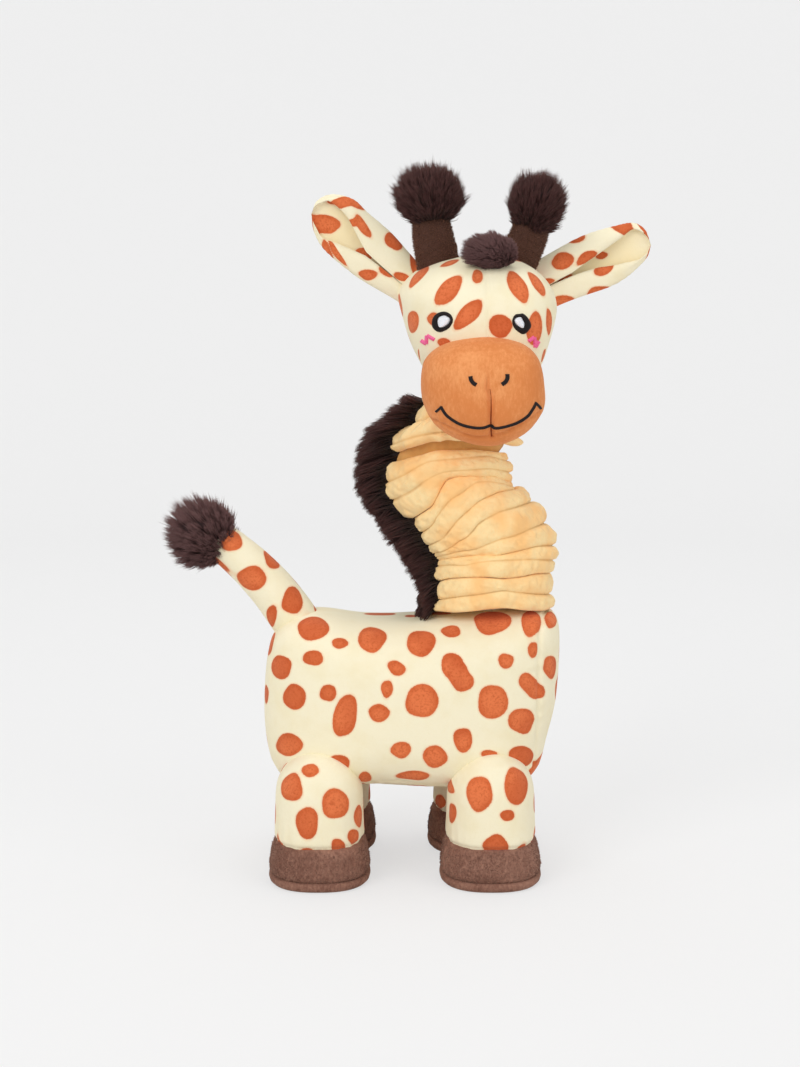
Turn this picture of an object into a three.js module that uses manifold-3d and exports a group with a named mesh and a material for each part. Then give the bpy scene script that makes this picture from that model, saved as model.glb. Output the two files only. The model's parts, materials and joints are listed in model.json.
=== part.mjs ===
// A plush giraffe toy: printed body on four stub legs, a gathered corduroy neck on an elastic cord,
// a head that faces sideways, ears, horns, mane and tail. Millimetres, +Z up, the toy's front is +X
// and its face looks along -Y. Z is 0 at the soles.
import * as THREE from 'three';
import { mergeVertices } from 'three/addons/utils/BufferGeometryUtils.js';
import Module from 'manifold-3d';

const wasm = await Module();
wasm.setup();

// Cloth and gaps
const clothWall = 1.8;
const seamGap = 0.3;
const jointClearance = 0.4;
const ballClearance = 0.9;

// Body
const bodyLength = 147;
const bodyForward = 3;
const bodyHalfWidth = 41;
const bodyTopZ = 128;
const bodyBellyZ = 43;
const bodySquareness = 5;
const bodyPlanSquareness = 3;
const gussetHeight = 11;

// Legs and hooves
const legHalfLength = 21.5;
const legHalfWidth = 24;
const legCentreY = 27;
const hipZ = 43;
const rearLegX = -44;
const frontLegX = 39;
const farRearShift = 3;
const farFrontShift = -5;
const hoofHeight = 21;
const hoofFlare = 3.5;
const soleThickness = 5;
const soleInset = 2.4;
const hipSwing = 12;

// Tail
const tailRootX = -57;
const tailRootZ = 123;
const tailRootRadius = 12;
const tailEndRadius = 9.2;
const tailLength = 52;
const tailRise = 43;
const tailTuftRadius = 18.3;
const tailTuftReach = 62;
const tailSwing = 20;

// Neck: control points of its S curve in X and Z, and its half width at shares of its length
const neckBase = [40, 126];
const neckPullFront = [52, 168];
const neckPullBack = [-6, 194];
const neckTop = [30, 236];
const neckHalfWidths = [
  [0, 27], [0.12, 25.5], [0.22, 28], [0.33, 29], [0.45, 28.5], [0.55, 27.5], [0.65, 28], [0.75, 28],
  [0.85, 26.5], [0.93, 24], [1, 22.5],
];
const neckHalfDepth = 24;
const neckRibs = 13;
const ribRelief = 1.7;
const neckSides = 14;
const baseBallRadius = 26.5;
const midBallRadius = 22;
const headBallRadius = 23;
const stretchAt = 0.335;
const midBendAt = 0.6;
const baseLeanBack = 15;
const baseLeanFront = 20;
const midLeanBack = 12;
const midLeanFront = 25;
const cordRadius = 4.5;
const cordBoreClearance = 0.7;
const cordKnotRadius = 7.5;
const cordBallMargin = 2.5;

// Mane
const manePile = 12;
const maneHalfAngle = 26;
const maneLift = 0.5;

// Head and muzzle, in the head's own frame: face along -Y, origin under the head's centre at floor level
const headX = 31;
const headY = -8;
const headYaw = 7;
const headHalf = [37.5, 38, 32.5];
const headZ = 267;
const headSquareness = 2.3;
const muzzleHalf = [28, 28, 24];
const muzzleY = -28;
const muzzleZ = 239;
const muzzleSquareness = 2.5;
const headTurnBack = 15;
const headTurnFront = 75;
const headNodDown = 5;
const headNodUp = 20;

// Face embroidery
const stitchRaise = 1.1;
const eyeSpacing = 19;
const eyeZ = 269.2;
const eyeRadius = 5.2;
const eyeWhiteRadius = 2.9;
const nostrilX = 7.6;
const nostrilZ = 246.5;
const mouthHalfWidth = 22.5;
const mouthZ = 223.8;
const mouthCornerZ = 233;
const mouthStitch = 1.9;
const cheekX = 25;
const cheekZ = 259.5;

// Ears
const earLength = 54;
const earRootWidth = 19;
const earMidWidth = 27;
const earLayer = 1.6;
const earCup = 5;
const earRoundAt = 0.74;
const earRootY = 10;
const ears = {
  right: { sign: -1, rise: 39 },
  left: { sign: 1, rise: 28 },
};

// Horns, pompoms and forelock
const hornHalfWidth = 9.6;
const hornHalfDepth = 7;
const hornSwing = 15;
const horns = {
  right: { x: -17.8, y: -2, z: 293, lean: -12, length: 22, pompom: 16.8 },
  left: { x: 19.6, y: -2, z: 292, lean: 22, length: 20, pompom: 14.6 },
};
const forelockHalf = [13.5, 11, 9.5];
const forelockX = 5;
const forelockY = -24;
const forelockZ = 301.5;

// Squeakers
const bodySqueakerRadius = 19;
const bodySqueakerThickness = 15;
const headSqueakerRadius = 12;
const headSqueakerThickness = 9;
const squeakerSnoutRadius = 3;
const squeakerFit = 0.5;

const colours = {
  print: 0xf2e6c4, corduroy: 0xf3c97a, fur: 0x3a2626, horn: 0x54382c, hoof: 0x6e4f44,
  muzzle: 0xd98c52, black: 0x26211f, white: 0xf1f1f4, pink: 0xec4f92, filling: 0xf6f4ee,
  cord: 0xe9e2d2, squeaker: 0xdfe3e6,
};

const radians = THREE.MathUtils.degToRad;
const vector = (x, y, z) => new THREE.Vector3(x, y, z);
const yAxis = vector(0, 1, 0);
const zAxis = vector(0, 0, 1);
const bodyX = (frontLegX + rearLegX) / 2 + bodyForward;

// Solids from closed triangle meshes, and back

function toSolid(geometry) {
  const bare = geometry.clone();
  bare.deleteAttribute('normal');
  bare.deleteAttribute('uv');
  const merged = mergeVertices(bare, 1e-4);
  return new wasm.Manifold(new wasm.Mesh({
    numProp: 3,
    vertProperties: new Float32Array(merged.attributes.position.array),
    triVerts: new Uint32Array(merged.index.array),
  }));
}

function toGeometry(solid) {
  const mesh = solid.getMesh();
  const geometry = new THREE.BufferGeometry();
  geometry.setAttribute('position', new THREE.BufferAttribute(new Float32Array(mesh.vertProperties), 3));
  geometry.setIndex(new THREE.BufferAttribute(new Uint32Array(mesh.triVerts), 1));
  geometry.computeVertexNormals();
  return geometry;
}

function moved(solid, matrix) {
  return toSolid(toGeometry(solid).applyMatrix4(matrix));
}

function turnAbout(pivot, axis, degrees) {
  return new THREE.Matrix4().makeTranslation(pivot.x, pivot.y, pivot.z)
    .multiply(new THREE.Matrix4().makeRotationAxis(axis, radians(degrees)))
    .multiply(new THREE.Matrix4().makeTranslation(-pivot.x, -pivot.y, -pivot.z));
}

// What a piece passes through as it turns between two angles, in steps of a few degrees
function swept(solid, pivot, axis, from, to, step = 6) {
  const steps = Math.max(1, Math.ceil((to - from) / step));
  let whole = solid;
  for (let i = 0; i <= steps; i += 1) {
    whole = whole.add(moved(solid, turnAbout(pivot, axis, from + (to - from) * i / steps)));
  }
  return whole;
}

// Closed skin over a row of rings; a ring of one point is a pole, and an end ring is capped flat
function loft(rings) {
  const points = [];
  const faces = [];
  const starts = rings.map((ring) => {
    points.push(...ring);
    return points.length - ring.length;
  });
  const sides = Math.max(...rings.map((ring) => ring.length));
  const corner = (i, j) => starts[i] + (rings[i].length > 1 ? j % sides : 0);
  for (let i = 0; i + 1 < rings.length; i += 1) {
    for (let j = 0; j < sides; j += 1) {
      if (rings[i].length > 1) faces.push(corner(i, j), corner(i, j + 1), corner(i + 1, j + 1));
      if (rings[i + 1].length > 1) faces.push(corner(i, j), corner(i + 1, j + 1), corner(i + 1, j));
    }
  }
  for (const [i, flip] of [[0, true], [rings.length - 1, false]]) {
    if (rings[i].length === 1) continue;
    const middle = points.length;
    points.push(rings[i].reduce((sum, p) => sum.add(p), vector(0, 0, 0)).divideScalar(sides));
    for (let j = 0; j < sides; j += 1) {
      const pair = flip ? [corner(i, j + 1), corner(i, j)] : [corner(i, j), corner(i, j + 1)];
      faces.push(middle, ...pair);
    }
  }
  let volume = 0;
  for (let k = 0; k < faces.length; k += 3) {
    const [a, b, c] = [points[faces[k]], points[faces[k + 1]], points[faces[k + 2]]];
    volume += a.dot(vector(0, 0, 0).crossVectors(b, c));
  }
  if (volume < 0) faces.reverse();
  const geometry = new THREE.BufferGeometry();
  const places = points.flatMap((p) => [p.x, p.y, p.z]);
  geometry.setAttribute('position', new THREE.Float32BufferAttribute(places, 3));
  geometry.setIndex(faces);
  return toSolid(geometry);
}

// Point on a superellipse: an exponent of 2 is an ellipse, a larger one is squarer
function squircle(angle, exponent) {
  const [c, s] = [Math.cos(angle), Math.sin(angle)];
  const power = 2 / exponent;
  return [Math.sign(c) * Math.abs(c) ** power, Math.sign(s) * Math.abs(s) ** power];
}

function ringOf(sides, place) {
  return Array.from({ length: sides }, (_, j) => place(2 * Math.PI * j / sides, j));
}

// Egg or rounded block around a centre, with poles along Z
function blob(centre, half, squareness, rows = 10, sides = 16) {
  const rings = [[vector(centre.x, centre.y, centre.z - half[2])]];
  for (let i = 1; i < rows; i += 1) {
    const [level, height] = squircle(-Math.PI / 2 + Math.PI * i / rows, squareness);
    rings.push(ringOf(sides, (angle) => {
      const [c, s] = squircle(angle, squareness);
      const [x, y] = [half[0] * level * c, half[1] * level * s];
      return vector(centre.x + x, centre.y + y, centre.z + half[2] * height);
    }));
  }
  rings.push([vector(centre.x, centre.y, centre.z + half[2])]);
  return loft(rings);
}

const ball = (centre, radius, rows = 8, sides = 14) => blob(centre, [radius, radius, radius], 2, rows, sides);

// Round bar between two points
function bar(from, to, radius, sides = 12) {
  const along = to.clone().sub(from).normalize();
  const side = Math.abs(along.z) < 0.9 ? vector(0, 0, 1) : vector(1, 0, 0);
  const u = vector(0, 0, 0).crossVectors(side, along).normalize();
  const v = vector(0, 0, 0).crossVectors(along, u);
  const ring = (at) => ringOf(sides, (angle) => at.clone()
    .addScaledVector(u, radius * Math.cos(angle))
    .addScaledVector(v, radius * Math.sin(angle)));
  return loft([ring(from), ring(to)]);
}

// What a stub with a round foot sweeps as it leans both ways about a Y axis: an arc and two flared sides
function hingeHollow(pivot, along, radius, lean, reach, halfWidth) {
  const across = vector(along.z, 0, -along.x);
  const outline = [];
  const place = (u, w) => outline.push(pivot.clone().addScaledVector(across, u).addScaledVector(along, w));
  const [c, s] = [Math.cos(radians(lean)), Math.sin(radians(lean))];
  place(radius * c + reach * s, -radius * s + reach * c);
  const steps = 12;
  for (let i = 0; i <= steps; i += 1) {
    const angle = radians(-lean - (180 - 2 * lean) * i / steps);
    place(radius * Math.cos(angle), radius * Math.sin(angle));
  }
  place(-radius * c - reach * s, -radius * s + reach * c);
  const shifted = (dy) => outline.map((p) => p.clone().addScaledVector(yAxis, dy));
  return loft([shifted(-halfWidth), shifted(halfWidth)]);
}

function mesh(name, solid, colour, roughness = 0.95) {
  const material = new THREE.MeshStandardMaterial({ color: colour, roughness, metalness: 0 });
  const piece = new THREE.Mesh(toGeometry(solid), material);
  piece.name = name;
  return piece;
}

const toy = new THREE.Group();

// Legs

const legs = {
  rear_right: { x: rearLegX, side: -1 },
  rear_left: { x: rearLegX + farRearShift, side: 1 },
  front_right: { x: frontLegX, side: -1 },
  front_left: { x: frontLegX + farFrontShift, side: 1 },
};

// The whole leg above a level, grown by an offset: a dome about the hip axis on a tube that flares to the hoof
function legForm(leg, offset, bottomZ, sides = 14) {
  const radius = legHalfLength + offset;
  const rings = [];
  const section = (z, a, b) => rings.push(ringOf(sides, (angle) => {
    const [c, s] = squircle(angle, 2.4);
    return vector(leg.x + a * c, leg.side * legCentreY + b * s, z);
  }));
  const levels = 2;
  for (let i = 0; i <= levels; i += 1) {
    const share = i / levels;
    const flare = hoofFlare * (1 - share) ** 2 * (hipZ - bottomZ) / (hipZ - soleThickness);
    section(bottomZ + (hipZ - bottomZ) * share, radius + flare, legHalfWidth + offset + 0.4 * flare);
  }
  for (const angle of [25, 50, 72]) {
    const rise = radius * Math.sin(radians(angle));
    const narrow = Math.cos(radians(angle)) ** 0.5;
    section(hipZ + rise, radius * Math.cos(radians(angle)), (legHalfWidth + offset) * narrow);
  }
  rings.push([vector(leg.x, leg.side * legCentreY, hipZ + radius)]);
  return loft(rings);
}

function soleForm(leg, inset, bottomZ, topZ) {
  const grow = hoofFlare - inset;
  const section = (z, shrink) => ringOf(14, (angle) => {
    const [c, s] = squircle(angle, 2.4);
    return vector(
      leg.x + (legHalfLength + grow - shrink) * c,
      leg.side * legCentreY + (legHalfWidth + 0.4 * grow - shrink) * s, z,
    );
  });
  const edgeZ = bottomZ + 0.4 * (topZ - bottomZ);
  return loft([section(bottomZ, soleInset), section(edgeZ, soleInset / 4), section(topZ, 0)]);
}

function addLeg(name, leg) {
  const outer = legForm(leg, 0, soleThickness + seamGap);
  const inner = legForm(leg, -clothWall, soleThickness + seamGap - 1, 10);
  const shell = outer.subtract(inner);
  const up = [0, 0, 1];
  const down = [0, 0, -1];
  toy.add(mesh(`leg_${name}_skin`, shell.trimByPlane(up, hoofHeight + seamGap / 2), colours.print));
  toy.add(mesh(`hoof_${name}_band`, shell.trimByPlane(down, -(hoofHeight - seamGap / 2)), colours.hoof));
  toy.add(mesh(`hoof_${name}_sole`, soleForm(leg, 0, 0, soleThickness), colours.hoof));
  const filling = legForm(leg, -clothWall - seamGap, soleThickness + seamGap, 10);
  toy.add(mesh(`leg_${name}_filling`, filling, colours.filling));
}

for (const [name, leg] of Object.entries(legs)) addLeg(name, leg);

function legHollow(leg) {
  const hip = vector(leg.x, leg.side * legCentreY, hipZ);
  return hingeHollow(hip, zAxis.clone().negate(), legHalfLength + jointClearance, hipSwing, legHalfLength,
    legHalfWidth + jointClearance);
}

// Tail

const tailRoot = vector(tailRootX, 0, tailRootZ);
const tailAlong = vector(-Math.cos(radians(tailRise)), 0, Math.sin(radians(tailRise)));

// A ball at the root that tapers to the tuft, grown by an offset
function tailForm(offset, length = tailLength, sides = 12) {
  const across = vector(0, 0, 0).crossVectors(yAxis, tailAlong);
  const rings = [[tailRoot.clone().addScaledVector(tailAlong, -(tailRootRadius + offset))]];
  const ring = (reach, radius) => rings.push(ringOf(sides, (angle) => tailRoot.clone()
    .addScaledVector(tailAlong, reach).addScaledVector(across, radius * Math.cos(angle))
    .addScaledVector(yAxis, radius * Math.sin(angle))));
  for (const angle of [-60, -30, 0]) {
    const radius = tailRootRadius + offset;
    ring(radius * Math.sin(radians(angle)), radius * Math.cos(radians(angle)));
  }
  for (const share of [0.35, 0.7, 1]) {
    ring(length * share, offset + tailRootRadius + (tailEndRadius - tailRootRadius) * share);
  }
  return loft(rings);
}

const tailTuftCentre = tailRoot.clone().addScaledVector(tailAlong, tailTuftReach);

function addTail() {
  toy.add(mesh('tail_skin', tailForm(0).subtract(tailForm(-clothWall, tailLength + 1, 10)), colours.print));
  toy.add(mesh('tail_filling', tailForm(-clothWall - seamGap, tailLength, 10), colours.filling));
  const tuft = ball(tailTuftCentre, tailTuftRadius).subtract(tailForm(seamGap, tailLength + seamGap));
  toy.add(mesh('tail_tuft', tuft, colours.fur));
}

addTail();

// Neck path, sections and pivots

const neckPath = new THREE.CubicBezierCurve3(
  ...[neckBase, neckPullFront, neckPullBack, neckTop].map(([x, z]) => vector(x, 0, z)),
);
neckPath.arcLengthDivisions = 400;

function neckHalfAt(t) {
  const next = Math.max(1, neckHalfWidths.findIndex(([share]) => share >= t));
  const [[t0, half0], [t1, half1]] = [neckHalfWidths[next - 1], neckHalfWidths[next]];
  return THREE.MathUtils.lerp(half0, half1, (t - t0) / (t1 - t0));
}

function neckFrame(t) {
  const along = neckPath.getTangentAt(t);
  const right = vector(along.z, 0, -along.x);
  return { at: neckPath.getPointAt(t), along, right };
}

function neckPoint(t, angle, relief, grow = 0) {
  const { at, right } = neckFrame(t);
  const half = neckHalfAt(t) + relief + grow;
  const depth = neckHalfDepth + relief + grow;
  return at.clone().addScaledVector(right, half * Math.cos(angle))
    .addScaledVector(yAxis, depth * Math.sin(angle));
}

// Crest and valley rings of the corduroy, counted over the whole neck, between two places on the path
function neckRings(from, to, make) {
  const rings = [make(from, 0)];
  for (let i = 1; i < 2 * neckRibs; i += 1) {
    const t = i / (2 * neckRibs);
    if (t > from + 0.012 && t < to - 0.012) rings.push(make(t, i % 2 ? 0 : -ribRelief));
  }
  rings.push(make(to, 0));
  return rings;
}

function sleeveForm(from, to) {
  return loft(neckRings(from, to, (t, relief) => ringOf(neckSides, (angle) => neckPoint(t, -angle, relief))));
}

function maneForm(from, to) {
  const inner = 5;
  const outer = 7;
  const reach = radians(maneHalfAngle);
  return loft(neckRings(from, to, (t, relief) => {
    const ring = [];
    for (let i = 0; i < inner; i += 1) {
      ring.push(neckPoint(t, Math.PI + reach * (1 - 2 * i / (inner - 1)), 0, maneLift));
    }
    for (let i = 0; i < outer; i += 1) {
      const share = (2 * i + 1) / outer - 1;
      const pile = manePile * Math.cos(share * 1.15) + relief / 2;
      ring.push(neckPoint(t, Math.PI + reach * share * 1.1, 0, maneLift + pile));
    }
    return ring;
  }));
}

function boreForm(radius, from, to) {
  const steps = Math.max(2, Math.round((to - from) * 24));
  const rings = [];
  for (let i = 0; i <= steps; i += 1) {
    const { at, right } = neckFrame(from + (to - from) * i / steps);
    rings.push(ringOf(8, (angle) => at.clone()
      .addScaledVector(right, radius * Math.cos(angle)).addScaledVector(yAxis, -radius * Math.sin(angle))));
  }
  return loft(rings);
}

const basePivot = neckPath.getPointAt(0);
const midPivot = neckPath.getPointAt(midBendAt);
const headPivot = neckPath.getPointAt(1);
const stretchFrame = neckFrame(stretchAt);
const bodyKnotDrop = baseBallRadius + ballClearance + cordKnotRadius;
const bodyKnotCentre = basePivot.clone().addScaledVector(zAxis, -bodyKnotDrop);

// Keeps what lies above a shallow V over a pivot, so that the piece can lean by the two angles
function aboveV(solid, pivot, along, leanRight, leanLeft, lift) {
  const right = vector(along.z, 0, -along.x);
  let kept = solid;
  for (const [lean, sign] of [[leanRight, -1], [leanLeft, 1]]) {
    const normal = along.clone().multiplyScalar(Math.cos(radians(lean)))
      .addScaledVector(right, sign * Math.sin(radians(lean)));
    kept = kept.trimByPlane(normal.toArray(), normal.dot(pivot) + lift);
  }
  return kept;
}

// Head forms in the head's own frame

const headCentre = vector(0, 0, headZ);
const muzzleCentre = vector(0, muzzleY, muzzleZ);
const grown = (half, offset) => half.map((size) => size + offset);
const headForm = (offset, rows = 10, sides = 18) => (
  blob(headCentre, grown(headHalf, offset), headSquareness, rows, sides)
);
const muzzleForm = (offset, rows = 8, sides = 14) => (
  blob(muzzleCentre, grown(muzzleHalf, offset), muzzleSquareness, rows, sides)
);
const headPlace = new THREE.Matrix4().makeTranslation(headX, headY, 0)
  .multiply(new THREE.Matrix4().makeRotationZ(radians(headYaw)));
const headPivotLocal = headPivot.clone().applyMatrix4(headPlace.clone().invert());
const nodAxis = vector(-1, 0, 0).transformDirection(headPlace);

// Everything the head and muzzle pass through as they turn and nod, less the ball they turn on
function sweptHead() {
  const grow = 2.5;
  const solid = moved(headForm(grow, 6, 12).add(muzzleForm(grow, 6, 12)), headPlace);
  const nodded = swept(solid, headPivot, nodAxis, -headNodDown, headNodUp, 25);
  const turned = swept(nodded, headPivot, zAxis, -headTurnBack, headTurnFront, 25);
  return turned.subtract(ball(headPivot, headBallRadius + seamGap, 12, 20));
}

// Neck pieces

function addNeck() {
  const bore = boreForm(cordRadius + cordBoreClearance, 0, 1);
  const lowBore = bar(basePivot.clone().addScaledVector(zAxis, cordRadius),
    basePivot.clone().addScaledVector(zAxis, -2 * baseBallRadius), cordRadius + cordBoreClearance, 8);
  const headSweep = sweptHead();
  const midAlong = neckFrame(midBendAt).along;
  const baseBall = ball(basePivot, baseBallRadius);
  const midBall = ball(midPivot, midBallRadius);
  const topBall = ball(headPivot, headBallRadius);
  const stretchPlane = stretchFrame.along.toArray();
  const stretchOffset = stretchFrame.along.dot(stretchFrame.at);
  const away = stretchFrame.along.clone().negate().toArray();
  const topLift = bodyTopZ - basePivot.z + jointClearance;

  const cutLow = (solid) => aboveV(solid, basePivot, zAxis, baseLeanFront + 1, baseLeanBack + 1, topLift)
    .trimByPlane(away, -stretchOffset + seamGap / 2);
  const cutMiddle = (solid) => aboveV(
    solid.trimByPlane(stretchPlane, stretchOffset + seamGap / 2),
    midPivot, midAlong.clone().negate(), midLeanBack / 2 + 0.5, midLeanFront / 2 + 0.5, 0.2,
  );
  const cutHigh = (solid) => aboveV(
    solid, midPivot, midAlong, midLeanFront / 2 + 0.5, midLeanBack / 2 + 0.5, 0.2,
  ).subtract(headSweep);

  const lower = cutLow(sleeveForm(0, stretchAt + 0.03)).add(baseBall);
  const middle = cutMiddle(sleeveForm(stretchAt - 0.03, midBendAt + 0.1))
    .subtract(ball(midPivot, midBallRadius + ballClearance, 12, 20));
  const upper = cutHigh(sleeveForm(midBendAt - 0.1, 1)).add(midBall).add(topBall);
  const knotPocket = bar(headPivot.clone().addScaledVector(zAxis, -cordKnotRadius - squeakerFit),
    headPivot.clone().addScaledVector(zAxis, 2 * headBallRadius), cordKnotRadius + squeakerFit, 14);

  toy.add(mesh('neck_sleeve_lower', lower.subtract(bore).subtract(lowBore), colours.corduroy));
  toy.add(mesh('neck_sleeve_middle', middle.subtract(bore), colours.corduroy));
  toy.add(mesh('neck_sleeve_upper', upper.subtract(bore).subtract(knotPocket), colours.corduroy));

  const maneTop = midBall.add(topBall).add(ball(headPivot, headBallRadius + seamGap));
  toy.add(mesh('neck_mane_lower', cutLow(maneForm(0, stretchAt + 0.03)), colours.fur));
  toy.add(mesh('neck_mane_middle', cutMiddle(maneForm(stretchAt - 0.03, midBendAt + 0.1)), colours.fur));
  toy.add(mesh('neck_mane_upper', cutHigh(maneForm(midBendAt - 0.1, 0.93)).subtract(maneTop), colours.fur));

  const cordLow = boreForm(cordRadius, 0, stretchAt + 0.03).trimByPlane(away, -stretchOffset + seamGap / 2)
    .add(bar(basePivot, basePivot.clone().add(vector(0, 0, -baseBallRadius + seamGap)), cordRadius, 8));
  toy.add(mesh('neck_cord_lower', cordLow, colours.cord));
  const pathLength = neckPath.getLength();
  const cordMiddleEnd = midBendAt - (midBallRadius + cordBallMargin) / pathLength;
  const cordUpperStart = midBendAt - (midBallRadius - cordBallMargin) / pathLength;
  const cordUpperEnd = 1 - (cordKnotRadius + squeakerFit) / pathLength;
  toy.add(mesh('neck_cord_middle', boreForm(cordRadius, stretchAt - 0.03, cordMiddleEnd)
    .trimByPlane(stretchPlane, stretchOffset + seamGap / 2), colours.cord));
  toy.add(mesh('neck_cord_upper', boreForm(cordRadius, cordUpperStart, cordUpperEnd), colours.cord));
  toy.add(mesh('neck_cord_head_knot', ball(headPivot, cordKnotRadius, 6, 10), colours.cord));
  toy.add(mesh('neck_cord_body_knot', ball(bodyKnotCentre, cordKnotRadius, 6, 10), colours.cord));
}

addNeck();

// Body

// Rounded block along X: squarer from the side than from above, grown by an offset
function bodyForm(offset, sides = 20, rows = 14) {
  const half = bodyLength / 2 + offset;
  const middleZ = (bodyTopZ + bodyBellyZ) / 2;
  const halfHeight = (bodyTopZ - bodyBellyZ) / 2 + offset;
  const rings = [[vector(bodyX - half, 0, middleZ)]];
  for (let i = 1; i < rows; i += 1) {
    const angle = -Math.PI / 2 + Math.PI * i / rows;
    const [tall, reach] = squircle(angle, bodySquareness);
    const wide = (1 - Math.abs(reach) ** bodyPlanSquareness) ** (1 / bodyPlanSquareness);
    rings.push(ringOf(sides, (turn) => {
      const [c, s] = squircle(turn, 2.5);
      return vector(bodyX + half * reach, (bodyHalfWidth + offset) * wide * c, middleZ + halfHeight * tall * s);
    }));
  }
  rings.push([vector(bodyX + half, 0, middleZ)]);
  return loft(rings);
}

// Flat round bladder with a snout, standing on edge: its axis is along Y
function squeakerForm(centre, radius, thickness, snoutRadius, snoutReach) {
  const profile = [[0, -thickness / 2], [radius * 0.85, -thickness / 2], [radius, -thickness / 4],
    [radius, thickness / 4], [radius * 0.85, thickness / 2], [0, thickness / 2]];
  const disc = new THREE.LatheGeometry(profile.map(([r, h]) => new THREE.Vector2(r, h)), 18);
  disc.translate(centre.x, centre.y, centre.z);
  const snout = bar(centre.clone().add(vector(0, 0, -radius / 2)),
    centre.clone().add(vector(0, 0, -radius - snoutReach)), snoutRadius, 10);
  return toSolid(disc).add(snout);
}

function addBody() {
  const neckSweep = ball(basePivot, baseBallRadius + ballClearance, 12, 20);
  const tailRoom = tailRootRadius + jointClearance;
  const tailHollow = hingeHollow(tailRoot, tailAlong, tailRoom, tailSwing, 2 * tailRootRadius, tailRoom);
  const holes = [neckSweep, tailHollow, ...Object.values(legs).map(legHollow)];
  const cut = (solid) => holes.reduce((left, hole) => left.subtract(hole), solid);

  const shell = cut(bodyForm(0).subtract(bodyForm(-clothWall, 14, 10)));
  const gussetTop = bodyBellyZ + gussetHeight;
  const panels = shell.trimByPlane([0, 0, 1], gussetTop + seamGap / 2);
  toy.add(mesh('body_side_right', panels.trimByPlane([0, -1, 0], seamGap / 2), colours.print));
  toy.add(mesh('body_side_left', panels.trimByPlane([0, 1, 0], seamGap / 2), colours.print));
  toy.add(mesh('body_belly_gusset', shell.trimByPlane([0, 0, -1], -(gussetTop - seamGap / 2)), colours.print));

  const squeakerAt = vector(-8, 0, (bodyTopZ + bodyBellyZ) / 2);
  const squeaker = squeakerForm(squeakerAt, bodySqueakerRadius, bodySqueakerThickness, squeakerSnoutRadius, 4);
  const pocket = squeakerForm(
    squeakerAt, bodySqueakerRadius + squeakerFit, bodySqueakerThickness + 2 * squeakerFit,
    squeakerSnoutRadius + squeakerFit, squeakerAt.z - bodyBellyZ,
  );
  const knotRoom = ball(bodyKnotCentre, cordKnotRadius + squeakerFit, 6, 10);
  toy.add(mesh('body_squeaker', squeaker, colours.squeaker, 0.5));
  const filling = cut(bodyForm(-clothWall - seamGap, 14, 10)).subtract(pocket).subtract(knotRoom);
  toy.add(mesh('body_filling', filling, colours.filling));
}

addBody();

// Head

const head = new THREE.Group();
head.position.set(headX, headY, 0);
head.rotation.z = radians(headYaw);
toy.add(head);

// Flat outline in the face's X and Z, pushed forward along Y from a form's middle
function throughFace(shape, fromY) {
  const depth = headHalf[1] + muzzleHalf[1];
  const geometry = new THREE.ExtrudeGeometry(shape, { depth, bevelEnabled: false, curveSegments: 6 });
  geometry.rotateX(Math.PI / 2);
  geometry.translate(0, fromY, 0);
  return toSolid(geometry);
}

// A pad of stitches that lies on a form, in the outline of one or more shapes
function stitched(shapes, form) {
  const fromY = form === muzzleForm ? muzzleCentre.y : headCentre.y;
  const outline = shapes.map((shape) => throughFace(shape, fromY)).reduce((whole, solid) => whole.add(solid));
  return outline.intersect(form(stitchRaise)).subtract(form(seamGap));
}

function ringShape(x, z, outer, inner) {
  const shape = new THREE.Shape().absarc(x, z, outer, 0, 2 * Math.PI);
  if (inner > 0) shape.holes.push(new THREE.Path().absarc(x, z, inner, 0, 2 * Math.PI));
  return shape;
}

// Ribbon of an even width along a row of points
function ribbonShape(points, width) {
  const sides = [[], []];
  points.forEach(([x, z], i) => {
    const [x0, z0] = points[Math.max(0, i - 1)];
    const [x1, z1] = points[Math.min(points.length - 1, i + 1)];
    const length = Math.hypot(x1 - x0, z1 - z0);
    const [nx, nz] = [-(z1 - z0) / length, (x1 - x0) / length];
    sides[0].push(new THREE.Vector2(x + nx * width / 2, z + nz * width / 2));
    sides[1].push(new THREE.Vector2(x - nx * width / 2, z - nz * width / 2));
  });
  return new THREE.Shape([...sides[0], ...sides[1].reverse()]);
}

function mouthPoints() {
  const dip = mouthCornerZ - mouthZ;
  const half = [];
  for (const share of [0, 0.1, 0.35, 0.62, 0.85, 1]) {
    const lift = share === 0 ? 0.08 : share ** 2.6;
    half.push([mouthHalfWidth * share, mouthZ + dip * lift]);
  }
  return [...half.slice(1).reverse().map(([x, z]) => [-x, z]), ...half];
}

// Short stroke that closes each corner of the mouth
function mouthTick(sign) {
  const tick = 2.4;
  return ribbonShape([[sign * (mouthHalfWidth - tick / 4), mouthCornerZ + tick / 4],
    [sign * (mouthHalfWidth + tick), mouthCornerZ - tick]], mouthStitch);
}

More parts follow.
